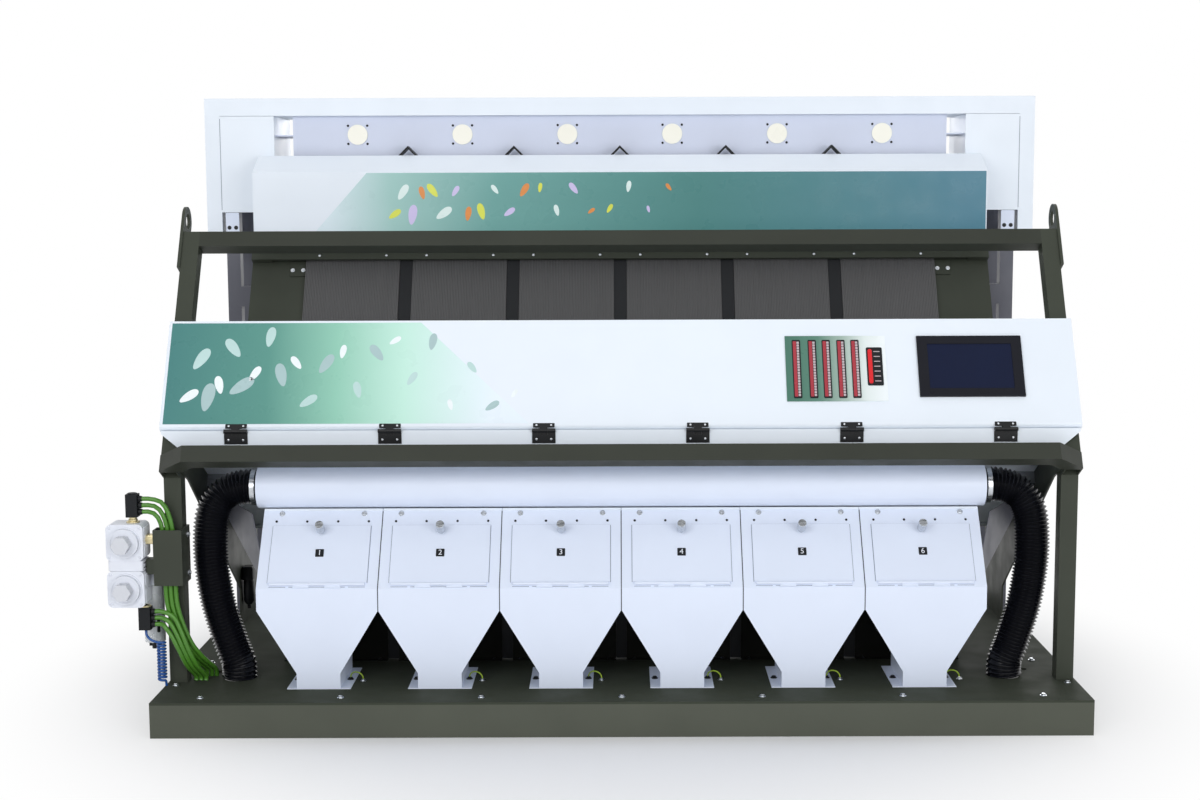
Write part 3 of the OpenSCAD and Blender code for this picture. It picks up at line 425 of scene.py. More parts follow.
# Profiles of a bolt and a screw, as shares of the head's radius
WASHER = [(1.5, 0), (1.5, 0.22), (1.4, 0.3)]
HEAD_LOW = 0.28
HEAD_EDGE = 0.12
BOLT_END = [(0.8, 0.9), (0.72, 1.06)]
PAN_HEAD = [(1, 0), (1, 0.3), (0.86, 0.55), (0.6, 0.7), (0.4, 0.72), (0.36, 0.35)]


def circle(r, sides):
    """Points of a circle."""
    angles = [2 * math.pi * k / sides for k in range(sides)]
    return [(r * math.cos(a), r * math.sin(a)) for a in angles]


def wall(bm, low, high):
    """Faces between two rings of points."""
    for k in range(len(low)):
        j = (k + 1) % len(low)
        bm.faces.new((low[k], low[j], high[j], high[k]))


def skin(bm, rings):
    """Walls over a stack of rings, closed at both ends."""
    for low, high in zip(rings, rings[1:]):
        wall(bm, low, high)
    bm.faces.new(list(reversed(rings[0])))
    bm.faces.new(rings[-1])


def ring(bm, at, r, z, sides):
    return [bm.verts.new(at @ Vector((x, y, z))) for x, y in circle(r, sides)]


def lathe(bm, at, profile, sides):
    """Turned form from (radius, height) pairs, closed at both ends."""
    skin(bm, [ring(bm, at, r, z, sides) for r, z in profile])


def washer(bm, at, inner, outer, low, high):
    """Flat ring."""
    profile = ((inner, low), (outer, low), (outer, high), (inner, high))
    rings = [ring(bm, at, r, z, RING_SIDES) for r, z in profile]
    for a, b in zip(rings, rings[1:] + rings[:1]):
        wall(bm, a, b)


def prism(bm, at, outline, low, high, edge=0.0):
    """Flat outline drawn out between two heights, with its upper edge cut back by edge."""
    centre = sum((Vector(p) for p in outline), Vector((0, 0))) / len(outline)
    levels = [(low, 0.0), (high - edge, 0.0), (high, edge)] if edge else [(low, 0.0), (high, 0.0)]
    rings = []
    for z, inset in levels:
        level = []
        for p in outline:
            away = Vector(p) - centre
            q = centre + away * (1 - inset / max(away.length, 1e-6))
            level.append(bm.verts.new(at @ Vector((q.x, q.y, z))))
        rings.append(level)
    skin(bm, rings)


def slab(bm, at, w, h, r, low, high, edge=0.0, x=0, y=0):
    """Plate with round corners, about (x, y).

    The named plates, such as PLATE, hold width, height, corner radius, lower and upper face and the cut of
    the upper edge, in this order.
    """
    outline = []
    for k, (sx, sy) in enumerate(((1, 1), (-1, 1), (-1, -1), (1, -1))):
        for i in range(CORNER_STEPS + 1):
            a = math.pi / 2 * (k + i / CORNER_STEPS)
            outline.append((
                x + sx * (w / 2 - r) + r * math.cos(a),
                y + sy * (h / 2 - r) + r * math.sin(a),
            ))
    prism(bm, at, outline, low, high, edge)


def scaled(profile, r):
    return [(r * a, r * z) for a, z in profile]


def bolt(bm, at, r):
    """Hexagon head on a washer."""
    lathe(bm, at, scaled(WASHER, r), WASHER_SIDES)
    prism(bm, at, circle(r, 6), HEAD_LOW * r, r, HEAD_EDGE * r)
    lathe(bm, at, scaled(BOLT_END, r), SCREW_SIDES)


def screw(bm, at, r):
    """Pan head with a socket."""
    lathe(bm, at, scaled(PAN_HEAD, r), SCREW_SIDES)


def keep(name, bm, slot, body="frame", look=None, smooth=35):
    """Turns a mesh under construction into a piece on a body."""
    bmesh.ops.recalc_face_normals(bm, faces=bm.faces)
    mesh = bpy.data.meshes.new(name)
    bm.to_mesh(mesh)
    bm.free()
    mesh.shade_smooth()
    mesh.set_sharp_from_angle(angle=math.radians(smooth))
    mesh.materials.append(MATERIALS[look or slot])
    piece = bpy.data.objects.new(name, mesh)
    scene.collection.objects.link(piece)
    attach(piece, body)
    return piece


# Cords: route points are x, depth behind the base's front edge and height above its plate

CURVE_STEPS = 24
# Height above the plate at which a cord ends
CORD_END = 0.0002


def smooth_line(points, count):
    """Even points along a smooth curve through the route's points."""
    route = [Vector(p) for p in points]
    dense = []
    for i in range(len(route) - 1):
        a, b = route[max(i - 1, 0)], route[i]
        c, d = route[i + 1], route[min(i + 2, len(route) - 1)]
        for k in range(CURVE_STEPS):
            t = k / CURVE_STEPS
            dense.append(0.5 * (
                2 * b + (c - a) * t + (2 * a - 5 * b + 4 * c - d) * t * t + (3 * b - a - 3 * c + d) * t ** 3
            ))
    dense.append(route[-1])
    return even(dense, count)


def even(line, count):
    """Points at even distances along a fine line."""
    marks = [0.0]
    for a, b in zip(line, line[1:]):
        marks.append(marks[-1] + (b - a).length)
    points = []
    i = 0
    for k in range(count):
        want = marks[-1] * k / (count - 1)
        while i < len(line) - 2 and marks[i + 1] < want:
            i += 1
        part = (want - marks[i]) / max(marks[i + 1] - marks[i], 1e-9)
        points.append(line[i].lerp(line[i + 1], min(part, 1.0)))
    return points


def length_of(line):
    return sum((b - a).length for a, b in zip(line, line[1:]))


def cord_curve(name, line, radius, slot, node=None, look=None, **facts):
    """Round cord along a line, in place of its CAD solid where it has one."""
    data = bpy.data.curves.new(name, "CURVE")
    data.dimensions = "3D"
    data.bevel_depth = radius
    data.bevel_resolution = 4
    data.use_fill_caps = True
    spline = data.splines.new("POLY")
    spline.points.add(len(line) - 1)
    for point, p in zip(spline.points, line):
        point.co = (*p, 1)
    spline.use_smooth = True
    data.materials.append(MATERIALS[look or slot])
    piece = bpy.data.objects.new(name, data)
    scene.collection.objects.link(piece)
    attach(piece, "frame")
    if node:
        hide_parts(node)


# Corrugated hoses, measured from the outer edge of the lanes
HOSE_R = 0.0465
HOSE_RIB = 0.0095
HOSE_GROOVE = 0.006
HOSE_SIDES = 28
RIB_STEPS = 6
PATH_POINTS = 40
HOSE_ROUTE = [
    (0.0172, 0.290, 0.508), (0.062, 0.290, 0.508), (0.107, 0.285, 0.492), (0.134, 0.276, 0.455),
    (0.145, 0.268, 0.400), (0.144, 0.260, 0.310), (0.126, 0.252, 0.200), (0.092, 0.246, 0.090),
    (0.074, 0.244, 0.040), (0.074, 0.244, CORD_END),
]


def corrugated_hose(name, side, node):
    """Hose whose wall goes in and out in round ribs."""
    route = [site(side * (LANES_EDGE + x), d, h) for x, d, h in HOSE_ROUTE]
    path = smooth_line(route, PATH_POINTS)
    ribs = round(length_of(path) / HOSE_RIB)
    fine = smooth_line(route, ribs * RIB_STEPS + 1)
    bm = bmesh.new()
    rings = []
    for i, p in enumerate(fine):
        ahead = (fine[min(i + 1, len(fine) - 1)] - fine[max(i - 1, 0)]).normalized()
        across = Vector((0, 1, 0)).cross(ahead).normalized()
        over = ahead.cross(across)
        depth = HOSE_GROOVE * (0.5 + 0.5 * math.cos(2 * math.pi * i / RIB_STEPS))
        edge = circle(HOSE_R - depth, HOSE_SIDES)
        rings.append([bm.verts.new(p + x * across + y * over) for x, y in edge])
    skin(bm, rings)
    piece = keep(name, bm, "hose_rubber", smooth=70)
    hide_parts(node)


corrugated_hose("hose_left", -1, "duct_hose_left")
corrugated_hose("hose_right", 1, "duct_hose_right")

# Air tubes, measured from the outer face of the left post; three leave each fitting, one above the other
POST_X = -1.195
FITTING_D = 0.165
FITTING_STEP = 0.017
TOP_PORT_H = 0.481
LOW_PORT_H = 0.182
TOP_ROUTE = [
    (-0.051, FITTING_D, TOP_PORT_H), (-0.033, FITTING_D, TOP_PORT_H), (-0.011, 0.167, 0.474),
    (0.005, 0.170, 0.446), (0.013, 0.171, 0.400), (0.015, 0.172, 0.310), (0.019, 0.173, 0.210),
    (0.047, 0.177, 0.120), (0.073, 0.198, 0.070), (0.093, 0.248, 0.028), (0.095, 0.262, 0.014),
    (0.095, 0.262, CORD_END),
]
LOW_ROUTE = [
    (-0.027, FITTING_D, LOW_PORT_H), (-0.009, FITTING_D, LOW_PORT_H), (0.013, 0.158, 0.172),
    (0.031, 0.156, 0.140), (0.047, 0.158, 0.100), (0.063, 0.172, 0.055), (0.077, 0.212, 0.014),
    (0.077, 0.212, CORD_END),
]
# Distance between neighbouring tubes at each route point; the last value holds for the rest
FAN_X = [0, 0, 0.011, 0.013]
FAN_H = [FITTING_STEP, FITTING_STEP, 0.014, 0.005, 0]
AIR_R = 0.006
AIR_POINTS = 36
PORTS = (-1, 0, 1)


def fanned(route, k):
    """Route of a tube that is k ports away from the middle one."""
    points = []
    for i, (x, d, h) in enumerate(route):
        dx = k * FAN_X[min(i, len(FAN_X) - 1)]
        dh = k * FAN_H[min(i, len(FAN_H) - 1)]
        points.append(site(POST_X + x + dx, d, h + dh))
    return points


for name, route in (("upper", TOP_ROUTE), ("lower", LOW_ROUTE)):
    for k in PORTS:
        cord_curve(
            f"air_tube_{name}_{k + 2}", smooth_line(fanned(route, k), AIR_POINTS), AIR_R, "green_tube",
            "air_tubes", stiffness="medium", lay="hanging",
        )

# Coiled hose, measured from the outer face of the left post
QUARTER_TURN = 0.25
COIL_X = -0.012
COIL_D = FITTING_D
COIL_TOP = 0.118
COIL_LOW = 0.016
COIL_TURNS = 12.125
COIL_TUBE = 0.0034
COIL_OUTSIDE = 0.013
COIL_R = COIL_OUTSIDE - COIL_TUBE
COIL_FRONT = COIL_D - COIL_R
TAIL_ROUTE = [
    (-0.051, FITTING_D, 0.152), (-0.051, FITTING_D, 0.146), (-0.049, 0.163, 0.136), (-0.040, 0.158, 0.127),
    (-0.026, COIL_FRONT, 0.121), (COIL_X, COIL_FRONT, COIL_TOP),
]
TAIL_POINTS = 18
TURN_STEPS = 20
END_STEPS = 8


def coil_point(turn, h):
    """Point of the coil, counted in turns from its front."""
    a = 2 * math.pi * (turn - QUARTER_TURN)
    return site(POST_X + COIL_X + COIL_R * math.cos(a), COIL_D + COIL_R * math.sin(a), h)


def coiled_line():
    """Tail that runs into the front of a helix, whose last part bends down to the plate."""
    line = smooth_line([site(POST_X + x, d, h) for x, d, h in TAIL_ROUTE], TAIL_POINTS)
    total = round(COIL_TURNS * TURN_STEPS)
    for i in range(1, total + 1):
        line.append(coil_point(COIL_TURNS * i / total, COIL_TOP + (COIL_LOW - COIL_TOP) * i / total))
    for i in range(1, END_STEPS + 1):
        u = i / END_STEPS
        turn = COIL_TURNS + QUARTER_TURN * (u - u * u / 2)
        line.append(coil_point(turn, CORD_END + (COIL_LOW - CORD_END) * (1 - u * u)))
    return line


cord_curve(
    "coiled_hose", coiled_line(), COIL_TUBE, "blue_tube", "recoil_hose", stiffness="medium", lay="coiled"
)

# Earth lead of each outlet hopper, from the bolt of its right foot to a stud on the base
FOOT_BOLT_X = 0.070
FOOT_BOLT_D = 0.213
STUD_X = 0.105
STUD_D = 0.203
LEAD_R = 0.0018
LEAD_POINTS = 24
LEAD_ROUTE = [
    (FOOT_BOLT_X, FOOT_BOLT_D, 0.0085), (0.0715, 0.212, 0.0145), (0.076, 0.209, 0.0205),
    (0.085, 0.205, 0.0240), (0.096, STUD_D, 0.0215), (0.103, STUD_D, 0.0140), (STUD_X, STUD_D, 0.0065),
]
for i, x in enumerate(LANE_X):
    lead = smooth_line([site(x + dx, d, h) for dx, d, h in LEAD_ROUTE], LEAD_POINTS)
    cord_curve(
        f"earth_lead_{i + 1}", lead, LEAD_R, "green_tube", look="earth_green", stiffness="medium", lay="loose"
    )


# Printed films; the cover's film ends in a slanting edge, the feeder cover's film begins with one

FILM_LOW = 0.00005
FILM_TOP = 0.0003
BAND_D = 0.835
COVER_FILM = [(-1.192, 0.014), (-0.240, 0.014), (-0.530, 0.302), (-1.192, 0.302)]
BAND_FILM = [(-0.905, 1.163), (1.072, 1.163), (1.072, 1.346), (-0.741, 1.346)]


def film(name, at, outline, look, body):
    bm = bmesh.new()
    prism(bm, at, outline, FILM_LOW, FILM_TOP)
    keep(name, bm, "panel_film", body, look)


film("cover_film", on_deck(0, 0, 0), COVER_FILM, "cover_print", "cover")
film("band_film", on_front(0, BAND_D, 0), BAND_FILM, "band_print", "frame")

GRAIN_SIDES = 28
GRAIN_THICK = 0.0002
# Half width of a grain and how much it changes to the ends, as shares of the length
GRAIN_HALF = 0.21
GRAIN_TAPER = 0.05
# From the first grain to the last: growth of the distance, loss of length
SHOWER_GROWTH = 0.8
SHOWER_LOSS = 0.55
# Height of a grain as a share of the film's: start, step to the next grain, shift for each colour
SHOWER_START = 0.2
SHOWER_STEP = 0.382
SHOWER_SHIFT = 0.11
GRAIN_SIZES = [0.8 + 0.2 * k for k in range(3)]
GRAIN_TURNS = [35 + 23 * k for k in range(5)]


def grain(bm, at, length, turn):
    """Flat grain shape, rounder at one end."""
    spun = at @ Matrix.Rotation(math.radians(turn), 4, "Z")
    outline = [
        (length / 2 * x, length * (GRAIN_HALF + GRAIN_TAPER * x) * y) for x, y in circle(1, GRAIN_SIDES)
    ]
    prism(bm, spun, outline, FILM_TOP, FILM_TOP + GRAIN_THICK)


def grain_shower(name, at, start, step, low, high, length, count, looks, body):
    """Grains that fall across a film in a slanting shower, thinning out to the right."""
    for k, look in enumerate(looks):
        bm = bmesh.new()
        for i in range(k, count, len(looks)):
            along = i / count
            x = start + step * i * (1 + SHOWER_GROWTH * along)
            t = low + (high - low) * ((i * SHOWER_STEP + SHOWER_SHIFT * k + SHOWER_START) % 1)
            size = length * (1 - SHOWER_LOSS * along) * GRAIN_SIZES[i % len(GRAIN_SIZES)]
            grain(bm, at @ Matrix.Translation((x, t, 0)), size, GRAIN_TURNS[i % len(GRAIN_TURNS)])
        keep(f"{name}_{k + 1}", bm, "panel_film", body, look)


grain_shower(
    "cover_grains", on_deck(0, 0, 0), start=-1.13, step=0.023, low=0.05, high=0.265, length=0.070,
    count=22, looks=("print_white", "print_mint", "print_grey"), body="cover",
)
grain_shower(
    "band_grains", on_front(0, BAND_D, 0), start=-0.66, step=0.024, low=1.20, high=1.33, length=0.052,
    count=20, looks=("print_yellow", "print_pale", "print_lilac", "print_orange"), body="frame",
)


# Number plates and pulls of the doors

DOOR_FACE = -0.0033
PLATE_T = 0.102
PLATE = (0.022, 0.022, 0.0015, 0, 0.0012, 0.0003)
NUMBER_FACE = DOOR_FACE - 0.0013
NUMBER_SIZE = 0.021
NUMBER_RISE = 0.0002
PULL_T = 0.163
PULL_SLEEVE = [
    (0.0062, 0), (0.0062, 0.0116), (0.0106, 0.0117), (0.0114, 0.0126), (0.0114, 0.0441), (0.0104, 0.0454)
]


def digit_mesh(number, at):
    """Number as a thin raised mesh, centred on a place."""
    data = bpy.data.curves.new("digit", "FONT")
    data.body = str(number)
    data.size = NUMBER_SIZE
    data.extrude = NUMBER_RISE
    data.align_x = "CENTER"
    data.align_y = "CENTER"
    holder = bpy.data.objects.new("digit", data)
    scene.collection.objects.link(holder)
    shown = holder.evaluated_get(bpy.context.evaluated_depsgraph_get())
    mesh = bpy.data.meshes.new_from_object(shown)
    bpy.data.objects.remove(holder)
    bm = bmesh.new()
    bm.from_mesh(mesh)
    bm.transform(at)
    bpy.data.meshes.remove(mesh)
    return bm


for i, x in enumerate(LANE_X):
    door = f"door_{i + 1}"
    bm = bmesh.new()
    slab(bm, on_panel(x, DOOR_FACE, PLATE_T), *PLATE)
    keep(f"number_plate_{i + 1}", bm, "black_plastic", door)
    bm = digit_mesh(i + 1, on_panel(x, NUMBER_FACE, PLATE_T))
    keep(f"number_{i + 1}", bm, "white_plastic", door)
    bm = bmesh.new()
    lathe(bm, on_panel(x, DOOR_FACE, PULL_T), PULL_SLEEVE, SLEEVE_SIDES)
    keep(f"pull_{i + 1}", bm, "bright_steel", door)


# Level display on the cover: five bar lamps and a gauge

LEVEL_FACE = -0.003
BAR_X = [0.464, 0.506, 0.543, 0.582, 0.619]
BAR_T = 0.163
BAR_H = 0.166
BAR_FRAME = (0.022, BAR_H, 0.003, 0, 0.0016, 0.0004)
RED_BAR = (0.0088, BAR_H - 0.008, 0.001, 0.0012, 0.0024, 0.0003)
RED_X = -0.0042
CELLS = 20
CELL = (0.0062, 0.0062, 0.0008, 0.0012, 0.0022, 0.0003)
CELL_X = 0.0044
CELL_STEP = (BAR_H - 0.009) / CELLS
GAUGE_X = 0.669
GAUGE_T = 0.1695
GAUGE_FRAME = (0.042, 0.109, 0.004, 0, 0.0016, 0.0004)
GAUGE_BAR = (0.011, 0.098, 0.0045, 0.0012, 0.0026, 0.0004)
GAUGE_BAR_X = -0.0115
MARKS = 7
MARK = (0.016, 0.0022, 0.0005, 0.0012, 0.0019)
MARK_X = 0.0065
MARK_STEP = 0.014
frames = bmesh.new()
reds = bmesh.new()
greys = bmesh.new()
for x in BAR_X:
    at = on_deck(x, LEVEL_FACE, BAR_T)
    slab(frames, at, *BAR_FRAME)
    slab(reds, at, *RED_BAR, x=RED_X)
    for y in centred(CELLS, CELL_STEP):
        slab(greys, at, *CELL, x=CELL_X, y=y)
at = on_deck(GAUGE_X, LEVEL_FACE, GAUGE_T)
slab(frames, at, *GAUGE_FRAME)
keep("level_frames", frames, "black_plastic", "cover")
keep("level_reds", reds, "panel_film", "cover", "lamp_red")
bm = bmesh.new()
slab(bm, at, *GAUGE_BAR, x=GAUGE_BAR_X)
keep("gauge_bar", bm, "panel_film", "cover", "gauge_red")
for y in centred(MARKS, MARK_STEP):
    slab(greys, at, *MARK, x=MARK_X, y=y)
keep("level_greys", greys, "lamp_tube", "cover", "lamp_grey")


# Bolts of the base plate: a row along each long edge, and two more at each side

BASE_BOLT = 0.006
ROW_IN = 0.044
ROW_BOLTS = 7
ROW_STEP = 0.36
SIDE_BOLTS = ((1.172, 0.165), (1.130, 0.390))
base_bolts = bmesh.new()
for x in centred(ROW_BOLTS, ROW_STEP):
    for d in (ROW_IN, BASE_D - ROW_IN):
        bolt(base_bolts, on_top(x, d, 0), BASE_BOLT)
for s in SIDES:
    for x, d in SIDE_BOLTS:
        bolt(base_bolts, on_top(s * x, d, 0), BASE_BOLT)
keep("base_bolts", base_bolts, "bright_steel")

# Fasteners and rim strips of the hoppers
FOOT_H = 0.002
FOOT_BOLT = 0.0058
REJECT_BOLT_X = 0.122
REJECT_BOLT_D = 0.4135
REJECT_BOLT = 0.004
STUD = 0.0055
PANEL_BOLT_X = 0.109
PANEL_BOLT_T = 0.219
PANEL_BOLT = 0.005
PANEL_SCREW_X = (0.041, 0.122)
PANEL_SCREW_T = 0.196
PANEL_SCREW = 0.0032
RIM_T = 0.2305
RIM_STRIP = (PITCH - 0.002, 0.006, 0.0005, 0, 0.0016, 0.0004)
hopper_bolts = bmesh.new()
hopper_screws = bmesh.new()
foot_bolts = bmesh.new()
rim_strips = bmesh.new()
for x in LANE_X:
    for s in SIDES:
        bolt(hopper_bolts, on_panel(x + s * PANEL_BOLT_X, 0, PANEL_BOLT_T), PANEL_BOLT)
        bolt(foot_bolts, on_top(x + s * FOOT_BOLT_X, FOOT_BOLT_D, FOOT_H), FOOT_BOLT)
        bolt(foot_bolts, on_top(x + s * REJECT_BOLT_X, REJECT_BOLT_D, FOOT_H), REJECT_BOLT)
        for dx in PANEL_SCREW_X:
            screw(hopper_screws, on_panel(x + s * dx, 0, PANEL_SCREW_T), PANEL_SCREW)
    bolt(hopper_bolts, on_top(x + STUD_X, STUD_D, 0), STUD)
    slab(rim_strips, on_panel(x, 0, 0), *RIM_STRIP, y=RIM_T)
keep("hopper_bolts", hopper_bolts, "bright_steel")
keep("hopper_screws", hopper_screws, "black_metal")
keep("foot_bolts", foot_bolts, "black_metal")
keep("rim_strips", rim_strips, "white_paint")

# Dark strips over the joints between the hoppers, partly a sealing strip and partly painted shade in the
# joint; paler painted shade lines in the gaps round the doors and between their knuckles, and a pale seam
# along each end box
SEAM = 0.0004
GAP_SEAM_AND_SHADE = 0.0024
GAP_SEAM_AND_SHADE_R = 0.0005
PANEL_LENGTH = 0.226
SHOULDER = 0.058
DOOR_W = 0.258
DOOR_LOW = 0.017
DOOR_TOP = 0.183
DOOR_GAP = 0.001
DOOR_SHADE_LINE = 0.0014
DOOR_SHADE_LINE_R = 0.0003
KNUCKLES = 5
KNUCKLE_STEP = DOOR_W / KNUCKLES
KNUCKLE_GAP = 0.008
KNUCKLE_T = 0.0055
BOX_X = 1.200
BOX_D = 0.985
BOX_H = 1.375
BOX_SEAM = (0.0018, 0.272, 0.0004, 0, SEAM)
gaps = bmesh.new()
for x in GAP_X:
    slab(gaps, on_panel(x, 0, PANEL_LENGTH / 2), GAP_SEAM_AND_SHADE, PANEL_LENGTH, GAP_SEAM_AND_SHADE_R, 0, SEAM)
    slab(gaps, on_front(x, HOP_D, FRONT_H - SHOULDER / 2), GAP_SEAM_AND_SHADE, SHOULDER, GAP_SEAM_AND_SHADE_R, 0, SEAM)
keep("hopper_seams_and_shade", gaps, "wiper_rubber", look="dark_seam")
# Painted shade lines in the gaps round each door and between its hinge knuckles
shade_and_seam_lines = bmesh.new()
for x in LANE_X:
    for s in SIDES:
        at = on_panel(x + s * (DOOR_W / 2 + DOOR_GAP), 0, (DOOR_LOW + DOOR_TOP) / 2)
        slab(shade_and_seam_lines, at, DOOR_SHADE_LINE, DOOR_TOP - DOOR_LOW, DOOR_SHADE_LINE_R, 0, SEAM)
    slab(shade_and_seam_lines, on_panel(x, 0, DOOR_TOP + DOOR_GAP), DOOR_W, DOOR_SHADE_LINE, DOOR_SHADE_LINE_R, 0, SEAM)
    for dx in centred(KNUCKLES, KNUCKLE_STEP):
        at = on_panel(x + dx, 0, KNUCKLE_T)
        slab(shade_and_seam_lines, at, KNUCKLE_STEP - KNUCKLE_GAP, DOOR_SHADE_LINE, DOOR_SHADE_LINE_R, 0, SEAM)
for s in SIDES:
    slab(shade_and_seam_lines, on_front(s * BOX_X, BOX_D, BOX_H), *BOX_SEAM)
keep("gap_shades_and_seams", shade_and_seam_lines, "wiper_rubber", look="pale_seam")

# Plates that bolt the hood to its front legs
LEG_X = 1.170
LEG_D = 0.990
LEG_H = 1.180
LEG_T = 0.002
LEG_PLATE = (0.0396, 0.102, 0.003, 0, LEG_T, 0.0006)
LEG_BOLT_X = 0.010
LEG_BOLT_UP = 0.006
LEG_BOLT = 0.004
leg_plates = bmesh.new()
leg_bolts = bmesh.new()
for s in SIDES:
    at = on_front(s * LEG_X, LEG_D, LEG_H)
    slab(leg_plates, at, *LEG_PLATE)
    for k in SIDES:
        bolt(leg_bolts, at @ Matrix.Translation((k * LEG_BOLT_X, LEG_BOLT_UP, LEG_T)), LEG_BOLT)
# Painted shade: the darker white on the leg plates
keep("leg_plates", leg_plates, "pale_paint")
keep("leg_bolts", leg_bolts, "black_metal")

# Black plates that fill the gaps between the reject hoppers: painted shade in the gaps
GAP_SHADE_D = 0.424
GAP_SHADE_H = 0.098
GAP_SHADE_PLATE = (0.0294, 0.190, 0.002, 0, 0.003, 0.0006)
gap_shades = bmesh.new()
for x in GAP_X:
    slab(gap_shades, on_front(x, GAP_SHADE_D, GAP_SHADE_H), *GAP_SHADE_PLATE)
keep("reject_gap_shades", gap_shades, "wiper_rubber", look="black_plastic")

# Screws of the chutes, and a bolted tab at each end of their clamp rail
CHUTE_SCREW_X = 0.0987
CHUTE_SCREW_V = 0.397
CHUTE_SCREW_T = 0.702
CHUTE_SCREW = 0.0045
TAB_X = 0.954
TAB_V = 0.420
TAB_T = 0.668
TAB_THICK = 0.003
TAB = (0.046, 0.048, 0.004, 0, TAB_THICK, 0.0008)
TAB_BOLT_X = 0.0155
TAB_BOLT_DOWN = 0.004
TAB_BOLT = 0.0042
chute_screws = bmesh.new()
chute_tabs = bmesh.new()
for x in LANE_X:
    for s in SIDES:
        screw(chute_screws, on_deck(x + s * CHUTE_SCREW_X, CHUTE_SCREW_V, CHUTE_SCREW_T), CHUTE_SCREW)
for s in SIDES:
    at = on_deck(s * TAB_X, TAB_V, TAB_T)
    slab(chute_tabs, at, *TAB)
    for k in SIDES:
        bolt(chute_screws, at @ Matrix.Translation((k * TAB_BOLT_X, -TAB_BOLT_DOWN, TAB_THICK)), TAB_BOLT)
keep("chute_screws", chute_screws, "bright_steel")
# Painted shade: the tabs take the darker olive
keep("chute_tabs", chute_tabs, "olive_paint", look="frame_olive")

# Screws round the sight windows
WALL_D = 1.010
SIGHT_H = 1.463
SIGHT_SCREW_X = 0.029
SIGHT_SCREW_UP = 0.027
SIGHT_SCREW = 0.0036
sight_screws = bmesh.new()
for x in LANE_X:
    for s in SIDES:
        for k in SIDES:
            at = on_front(x + s * SIGHT_SCREW_X, WALL_D, SIGHT_H + k * SIGHT_SCREW_UP)
            screw(sight_screws, at, SIGHT_SCREW)
keep("sight_screws", sight_screws, "black_metal")

# Cover hinges: screws of the fixed leaf, the plate under the knuckle, and the upper leaf with its screws
HINGE_STEP = 0.400
LIP_D = 0.1829
HINGE_LEAF = 0.003
HINGE_BACK_H = 0.663
HINGE_BACK = (0.020, 0.0074, 0.0005, 0.0001, 0.0022)
HINGE_SCREW_H = 0.649
HINGE_SCREW = 0.0032
UPPER_T = 0.0075
UPPER_THICK = 0.0016
UPPER_LEAF = (0.056, 0.012, 0.0015, 0.0001, UPPER_THICK, 0.0004)
UPPER_SCREW = 0.003
SCREW_X = 0.019
hinge_screws = bmesh.new()
hinge_backs = bmesh.new()
upper_leaves = bmesh.new()
upper_screws = bmesh.new()
for x in centred(LANES, HINGE_STEP):
    slab(hinge_backs, on_front(x, LIP_D, HINGE_BACK_H), *HINGE_BACK)
    slab(upper_leaves, on_deck(x, 0, UPPER_T), *UPPER_LEAF)
    for s in SIDES:
        screw(hinge_screws, on_front(x + s * SCREW_X, LIP_D - HINGE_LEAF, HINGE_SCREW_H), HINGE_SCREW)
        screw(upper_screws, on_deck(x + s * SCREW_X, -UPPER_THICK, UPPER_T), UPPER_SCREW)
keep("hinge_screws", hinge_screws, "bright_steel")
keep("hinge_backs", hinge_backs, "black_metal")
keep("hinge_upper_leaves", upper_leaves, "black_metal", "cover")
keep("hinge_upper_screws", upper_screws, "bright_steel", "cover")

# Screws of the rear camera housing's cover
REAR_SCREWS = 9
REAR_STEP = 0.275
REAR_V = 0.765
REAR_T = (-0.012, 0.242)
REAR_SCREW = 0.004
rear_screws = bmesh.new()
for x in centred(REAR_SCREWS, REAR_STEP):
    for t in REAR_T:
        screw(rear_screws, on_rear(x, REAR_V, t), REAR_SCREW)
keep("rear_screws", rear_screws, "bright_steel")


# Air unit: brass parts, bracket bolts and the regulators' trim

REG_X = -1.285
REG_D = 0.130
REG_W = 0.096
REG_DEPTH = 0.070
REG_RIGHT = REG_X + REG_W / 2
REG_MIDDLE_D = REG_D + REG_DEPTH / 2
REG_H = [0.265, 0.388]
TOP_FITTING_X = -1.270
TOP_NUT_H = 0.436
TOP_NUT = [
    (0.017, 0.0002), (0.017, 0.0035), (0.012, 0.0045), (0.012, 0.009), (0.0095, 0.010), (0.0095, 0.0148)
]
LOW_FITTING_X = -1.246
LOW_NUT_H = 0.2122
LOW_NUT = [(0.014, 0), (0.016, 0.0012), (0.016, 0.0036), (0.014, 0.0046)]
OUTLET_D = 0.168
OUTLET_H = 0.392
OUTLET = (0.030, 0.024, 0.003, 0, 0.0198)
fittings = bmesh.new()
lathe(fittings, on_top(TOP_FITTING_X, FITTING_D, TOP_NUT_H), TOP_NUT, FITTING_SIDES)
lathe(fittings, on_top(LOW_FITTING_X, FITTING_D, LOW_NUT_H), LOW_NUT, FITTING_SIDES)
slab(fittings, on_right(REG_RIGHT, OUTLET_D, OUTLET_H), *OUTLET)
keep("brass_fittings", fittings, "bright_steel", look="brass")

BRACKET_X = -1.142
BRACKET_D = 0.215
BRACKET_H = (0.292, 0.395)
BRACKET_BOLT = 0.006
bracket_bolts = bmesh.new()
for h in BRACKET_H:
    bolt(bracket_bolts, on_right(BRACKET_X, BRACKET_D, h), BRACKET_BOLT)
keep("bracket_bolts", bracket_bolts, "bright_steel")

